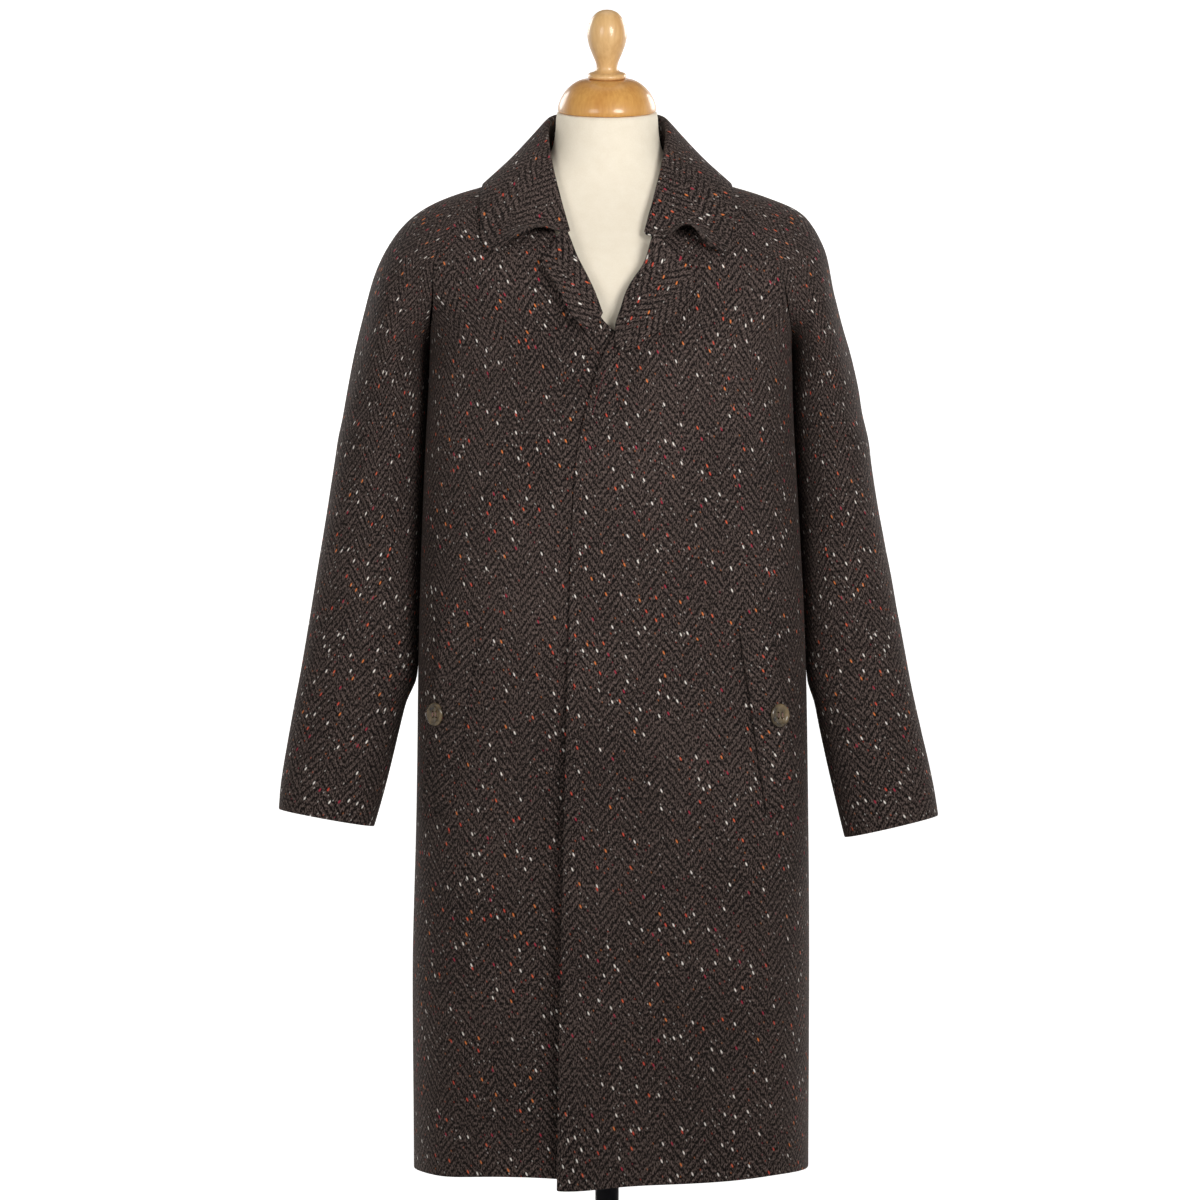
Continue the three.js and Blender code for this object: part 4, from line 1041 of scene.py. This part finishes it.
@dataclass
class Coat:
    """The overcoat: its cut pieces, trims and sewing."""

    cloth: bpy.types.Material
    pieces: dict[str, bpy.types.Object] = field(default_factory=dict)

    def cut(self) -> list[ClothPiece]:
        """Lists the cut pieces with their flat sizes in metres.

        Returns:
            The pieces, not yet built.
        """
        cloth = self.cloth
        front = ("form_torso",)
        return [
            ClothPiece("front_left", Grain.BODY, (0.40, 1.10), 0.353, cloth, front, OVER_FOLDS, 3,
                       pulls=OVER_PULLS),
            ClothPiece("front_right", Grain.BODY, (0.40, 1.10), 0.343, cloth, front, UNDER_FOLDS, 3,
                       pulls=UNDER_PULLS),
            ClothPiece("back_left", Grain.BODY, (0.34, 1.12), 0.314, cloth, front, BACK_FOLDS, 3),
            ClothPiece("back_right", Grain.BODY, (0.34, 1.12), 0.31, cloth, front, BACK_FOLDS, 3),
            ClothPiece("sleeve_left_front", Grain.SLEEVE, (0.26, 0.78), 0.119, cloth, front, LEFT_SLEEVE_FOLDS, 3),
            ClothPiece("sleeve_left_back", Grain.SLEEVE, (0.26, 0.78), 0.127, cloth, front, LEFT_SLEEVE_FOLDS, 3),
            ClothPiece("sleeve_right_front", Grain.SLEEVE, (0.26, 0.78), 0.125, cloth, front, RIGHT_SLEEVE_FOLDS, 3),
            ClothPiece("sleeve_right_back", Grain.SLEEVE, (0.26, 0.78), 0.133, cloth, front, RIGHT_SLEEVE_FOLDS, 3),
            ClothPiece("collar", Grain.COLLAR, (0.52, 0.16), 0.078, cloth, front, (), 3, 0.6, "folded", 0.0,
                       COLLAR_PULLS),
            ClothPiece("lapel_left", Grain.LEFT_LAPEL, (0.15, 0.07), 0.0089, cloth, ("front_left",), LEFT_LAPEL_FOLDS, 3, 0.6,
                       "folded", -46, LEFT_LAPEL_PULLS),
            ClothPiece("lapel_right", Grain.RIGHT_LAPEL, (0.13, 0.06), 0.0061, cloth, ("front_right",), RIGHT_LAPEL_FOLDS, 3, 0.6,
                       "folded", 38, RIGHT_LAPEL_PULLS),
            ClothPiece("pocket_welt_left", Grain.LEFT_WELT, (0.045, 0.215), 0.0092, cloth, ("front_left",),
                       (), 2, 0.6, "stretched", 9),
            ClothPiece("pocket_welt_right", Grain.RIGHT_WELT, (0.045, 0.215), 0.0092, cloth, ("front_right",),
                       (), 2, 0.6, "stretched", -9),
        ]

    def build(self) -> None:
        """Builds the pieces of cloth, then the sewing on them."""
        for piece in self.cut():
            if piece.grain is Grain.SLEEVE:
                side = "left" if "left" in piece.node else "right"
                piece.beside = (self.pieces["front_" + side], self.pieces["back_" + side])
            self.pieces[piece.node] = piece.build()
        self.sew()

    def sew(self) -> None:
        """Adds the stitch lines, the buttonholes and the buttons."""
        brown, crimson, pink = BROWN_THREAD.make(), CRIMSON_THREAD.make(), PINK_THREAD.make()
        over = surface_of(self.pieces["front_left"], self.pieces["lapel_left"])
        left = surface_of(self.pieces["pocket_welt_left"], self.pieces["front_left"])
        right = surface_of(self.pieces["pocket_welt_right"], self.pieces["front_right"])
        fly = [(26.5, 1202), (25, 1000), (23, 850), (22, 770), (9, 752), (-8, 730), (-27, 722)]
        StitchLine("fly_stitches", fly, brown).build(over)
        edge = [(-2, 1268), (-9, 1246), (-17, 1216)]
        StitchLine("edge_thread", edge, crimson, 3.4, 2.8, 0.45, 0.0).build(over)
        Buttonhole("front_buttonhole", (-10.5, 1250), (-4, 1256), brown, 1.2).build(over)
        Buttonhole("lapel_buttonhole", (52, 1378), (70, 1349), brown, 1.1).build(over)
        Buttonhole("left_pocket_buttonhole", (153, 895), (168, 897), brown).build(left)
        Buttonhole("right_pocket_buttonhole", (-170, 893), (-157, 893), brown).build(right)
        horn = POLISHED_HORN.make()
        for node in ("pocket_button_left", "pocket_button_right"):
            HornButton(node, horn, pink).build()


@dataclass
class DressForm:
    """The padded form, its wooden cap and finial, and the stand."""

    tilt: float = 12.0
    neck_top: float = 1558.0
    cap_gap: float = 0.9
    neck_back: float = 2.0
    cap_height: float = 36.0
    cap: tuple[tuple[float, float], ...] = (
        (52, 0), (53.4, 0.6), (54, 2), (54, 5), (52.8, 10), (49.6, 17), (44.6, 24), (38, 30), (30.5, 34.2), (22, 36))
    finial: tuple[tuple[float, float], ...] = (
        (21, 1.6), (21.3, 3.0), (20.6, 5.0), (18.8, 6.5), (15, 7.6), (12.4, 10), (11.6, 14), (12.8, 19), (16.2, 27),
        (19.6, 36), (21.4, 44), (21.5, 50), (20.2, 58.5), (16.8, 66.5), (11.5, 72.5), (5.5, 75.4))

    def lean(self, mesh: bpy.types.Mesh, lift: float) -> bpy.types.Mesh:
        """Tips a turned piece forward about the top of the neck.

        Args:
            mesh: The piece, standing on the floor.
            lift: Its height above the neck's end, in millimetres.

        Returns:
            The same mesh.
        """
        mesh.transform(Matrix.Translation((0, self.neck_back * MM, (self.neck_top + self.cap_gap) * MM))
                       @ Matrix.Rotation(math.radians(self.tilt), 4, "X") @ Matrix.Translation((0, 0, lift * MM)))
        return mesh

    def build(self) -> None:
        """Builds and dresses the form and its stand."""
        cotton, enamel = FORM_COTTON.make(), SATIN_ENAMEL.make()
        beech, painted_light_beech = TURNED_BEECH.make(), PAINTED_LIGHT_BEECH.make()
        finish_piece("form_cover", smooth_copy("form_torso", 2, 0.9), cotton, "form_torso")
        cap = ((0.0, 0.0), *smooth_profile(self.cap, 3), (0.0, 36.0))
        finish_piece("turned_cap", self.lean(turned_mesh("turned_cap", cap, 96), 0), beech,
                     "form_cap")
        egg = ((0.0, 0.0), (19.5, 0.0), *smooth_profile(self.finial, 4), (0.0, 76.0))
        finial = self.lean(turned_mesh("turned_finial", egg, 72), self.cap_height + 0.3)
        # The finial's beech is paler as painted light, to make up for the shade on its sideways faces.
        finish_piece("turned_finial", finial, painted_light_beech, "form_finial")
        pole = ((0, 24.3), (25.2, 24.3), (26, 25.2), (26, 31), (25, 32.3), (18, 35.5), (13.8, 39.5), (13, 42),
                (13, 789.4), (0, 789.4))
        finish_piece("steel_pole", turned_mesh("steel_pole", pole, 64), enamel, "stand_pole")
        base = ((0, 0), (188, 0), (189.4, 0.6), (190, 2), (190, 12.4), (189.4, 14.6), (187.4, 16.4), (184, 17.3),
                (60, 23.9), (56, 24), (0, 24))
        finish_piece("steel_base", turned_mesh("steel_base", base, 128), enamel, "stand_base")


@dataclass
class Studio:
    """The camera, the lights and the pale floor that runs up into the backdrop."""

    camera_x: float = -7.7 * MM
    camera_z: float = 1.0215
    distance: float = 6.0
    view_width: float = 1.32
    sensor: float = 36.0

    def build(self) -> None:
        """Builds the camera, the floor and the lights."""
        data = bpy.data.cameras.new("camera")
        data.sensor_width = self.sensor
        data.lens = self.sensor * self.distance / self.view_width
        camera = bpy.data.objects.new("camera", data)
        camera.location = (self.camera_x, -self.distance, self.camera_z)
        camera.rotation_euler = (math.pi / 2, 0, 0)
        bpy.context.scene.collection.objects.link(camera)
        bpy.context.scene.camera = camera
        bpy.context.scene.view_settings.view_transform = "Standard"
        self.light("key", (1.15, -2.3, 1.78), 1.0, 7.8, 76)
        self.light("fill", (-1.35, -2.3, 1.75), 1.1, 3.05, 76)
        self.light("top", (0.0, 0.3, 3.4), 1.4, 4)
        self.light("back_left", (-2.0, 2.3, 2.6), 1.4, 26)
        self.light("back_right", (2.0, 2.3, 2.4), 1.4, 26)
        world = bpy.data.worlds.new("studio")
        bpy.context.scene.world = world
        world.use_nodes = True
        world.node_tree.nodes["Background"].inputs[0].default_value = linear("ffffff")
        world.node_tree.nodes["Background"].inputs[1].default_value = 0.16
        self.floor()

    def light(self, name: str, place: tuple[float, float, float], size: float, power: float,
              spread: float = 180) -> None:
        """Adds one soft light that faces the top of the coat.

        Args:
            name: The light's name.
            place: Where it hangs, in metres.
            size: Its width, in metres.
            power: Its power, in watts.
            spread: How wide its beam is, in degrees.
        """
        data = bpy.data.lights.new(name, "AREA")
        data.shape = "DISK"
        data.size = size
        data.energy = power
        data.spread = math.radians(spread)
        lamp = bpy.data.objects.new(name, data)
        lamp.location = place
        lamp.rotation_euler = (Vector((0, 0, 1.5)) - Vector(place)).to_track_quat("-Z", "Y").to_euler()
        bpy.context.scene.collection.objects.link(lamp)

    def floor(self) -> None:
        """Adds the floor, a wide round plate with its rim turned up into a wall, with painted light as a glow that
        grows towards the back.
        """
        radii = [0.0, 7.4] + [7.4 + 1.6 * math.sin(a) for a in np.radians(np.arange(10, 91, 10))] + [9.0]
        heights = [0.0, 0.0] + [1.6 - 1.6 * math.cos(a) for a in np.radians(np.arange(10, 91, 10))] + [5.5]
        profile = tuple((radius / MM, (height - 0.0005) / MM) for radius, height in zip(radii, heights))
        material, tree, output = blank_material("matt_studio_paper_with_painted_glow")
        shader = add_node(tree, "ShaderNodeBsdfPrincipled", {"Base Color": linear("f4f3f1"), "Roughness": 0.95})
        place = add_node(tree, "ShaderNodeTexCoord").outputs["Object"]
        depth = add_node(tree, "ShaderNodeSeparateXYZ", {0: place}).outputs[1]
        # Painted light: the paper glows more the further back it lies, in place of light from below the frame, so it
        # looks paler than the floor.
        painted_light_strength = add_node(tree, "ShaderNodeMapRange", {"Value": depth, "From Min": 1.6, "From Max": 3.4, "To Min": 0.04,
                                                    "To Max": 0.62}, interpolation_type="SMOOTHSTEP").outputs[0]
        # Painted light: the paper's own glow, not a lamp.
        painted_glow = add_node(tree, "ShaderNodeEmission", {"Color": linear("ffffff"), "Strength": painted_light_strength})
        both = add_node(tree, "ShaderNodeAddShader", {0: shader.outputs[0], 1: painted_glow.outputs[0]})
        tree.links.new(both.outputs[0], output.inputs[0])
        floor = bpy.data.objects.new("studio_floor", turned_mesh("studio_floor", profile, 96))
        floor.data.materials.append(material)
        floor.data.polygons.foreach_set("use_smooth", [True] * len(floor.data.polygons))
        bpy.context.scene.collection.objects.link(floor)


def main() -> None:
    """Builds the studio, the coat and the form."""
    logging.basicConfig(level=logging.INFO, format="%(message)s")
    Studio().build()
    Coat(HerringboneTweed().make()).build()
    DressForm().build()


if __name__ == "__main__":
    main()
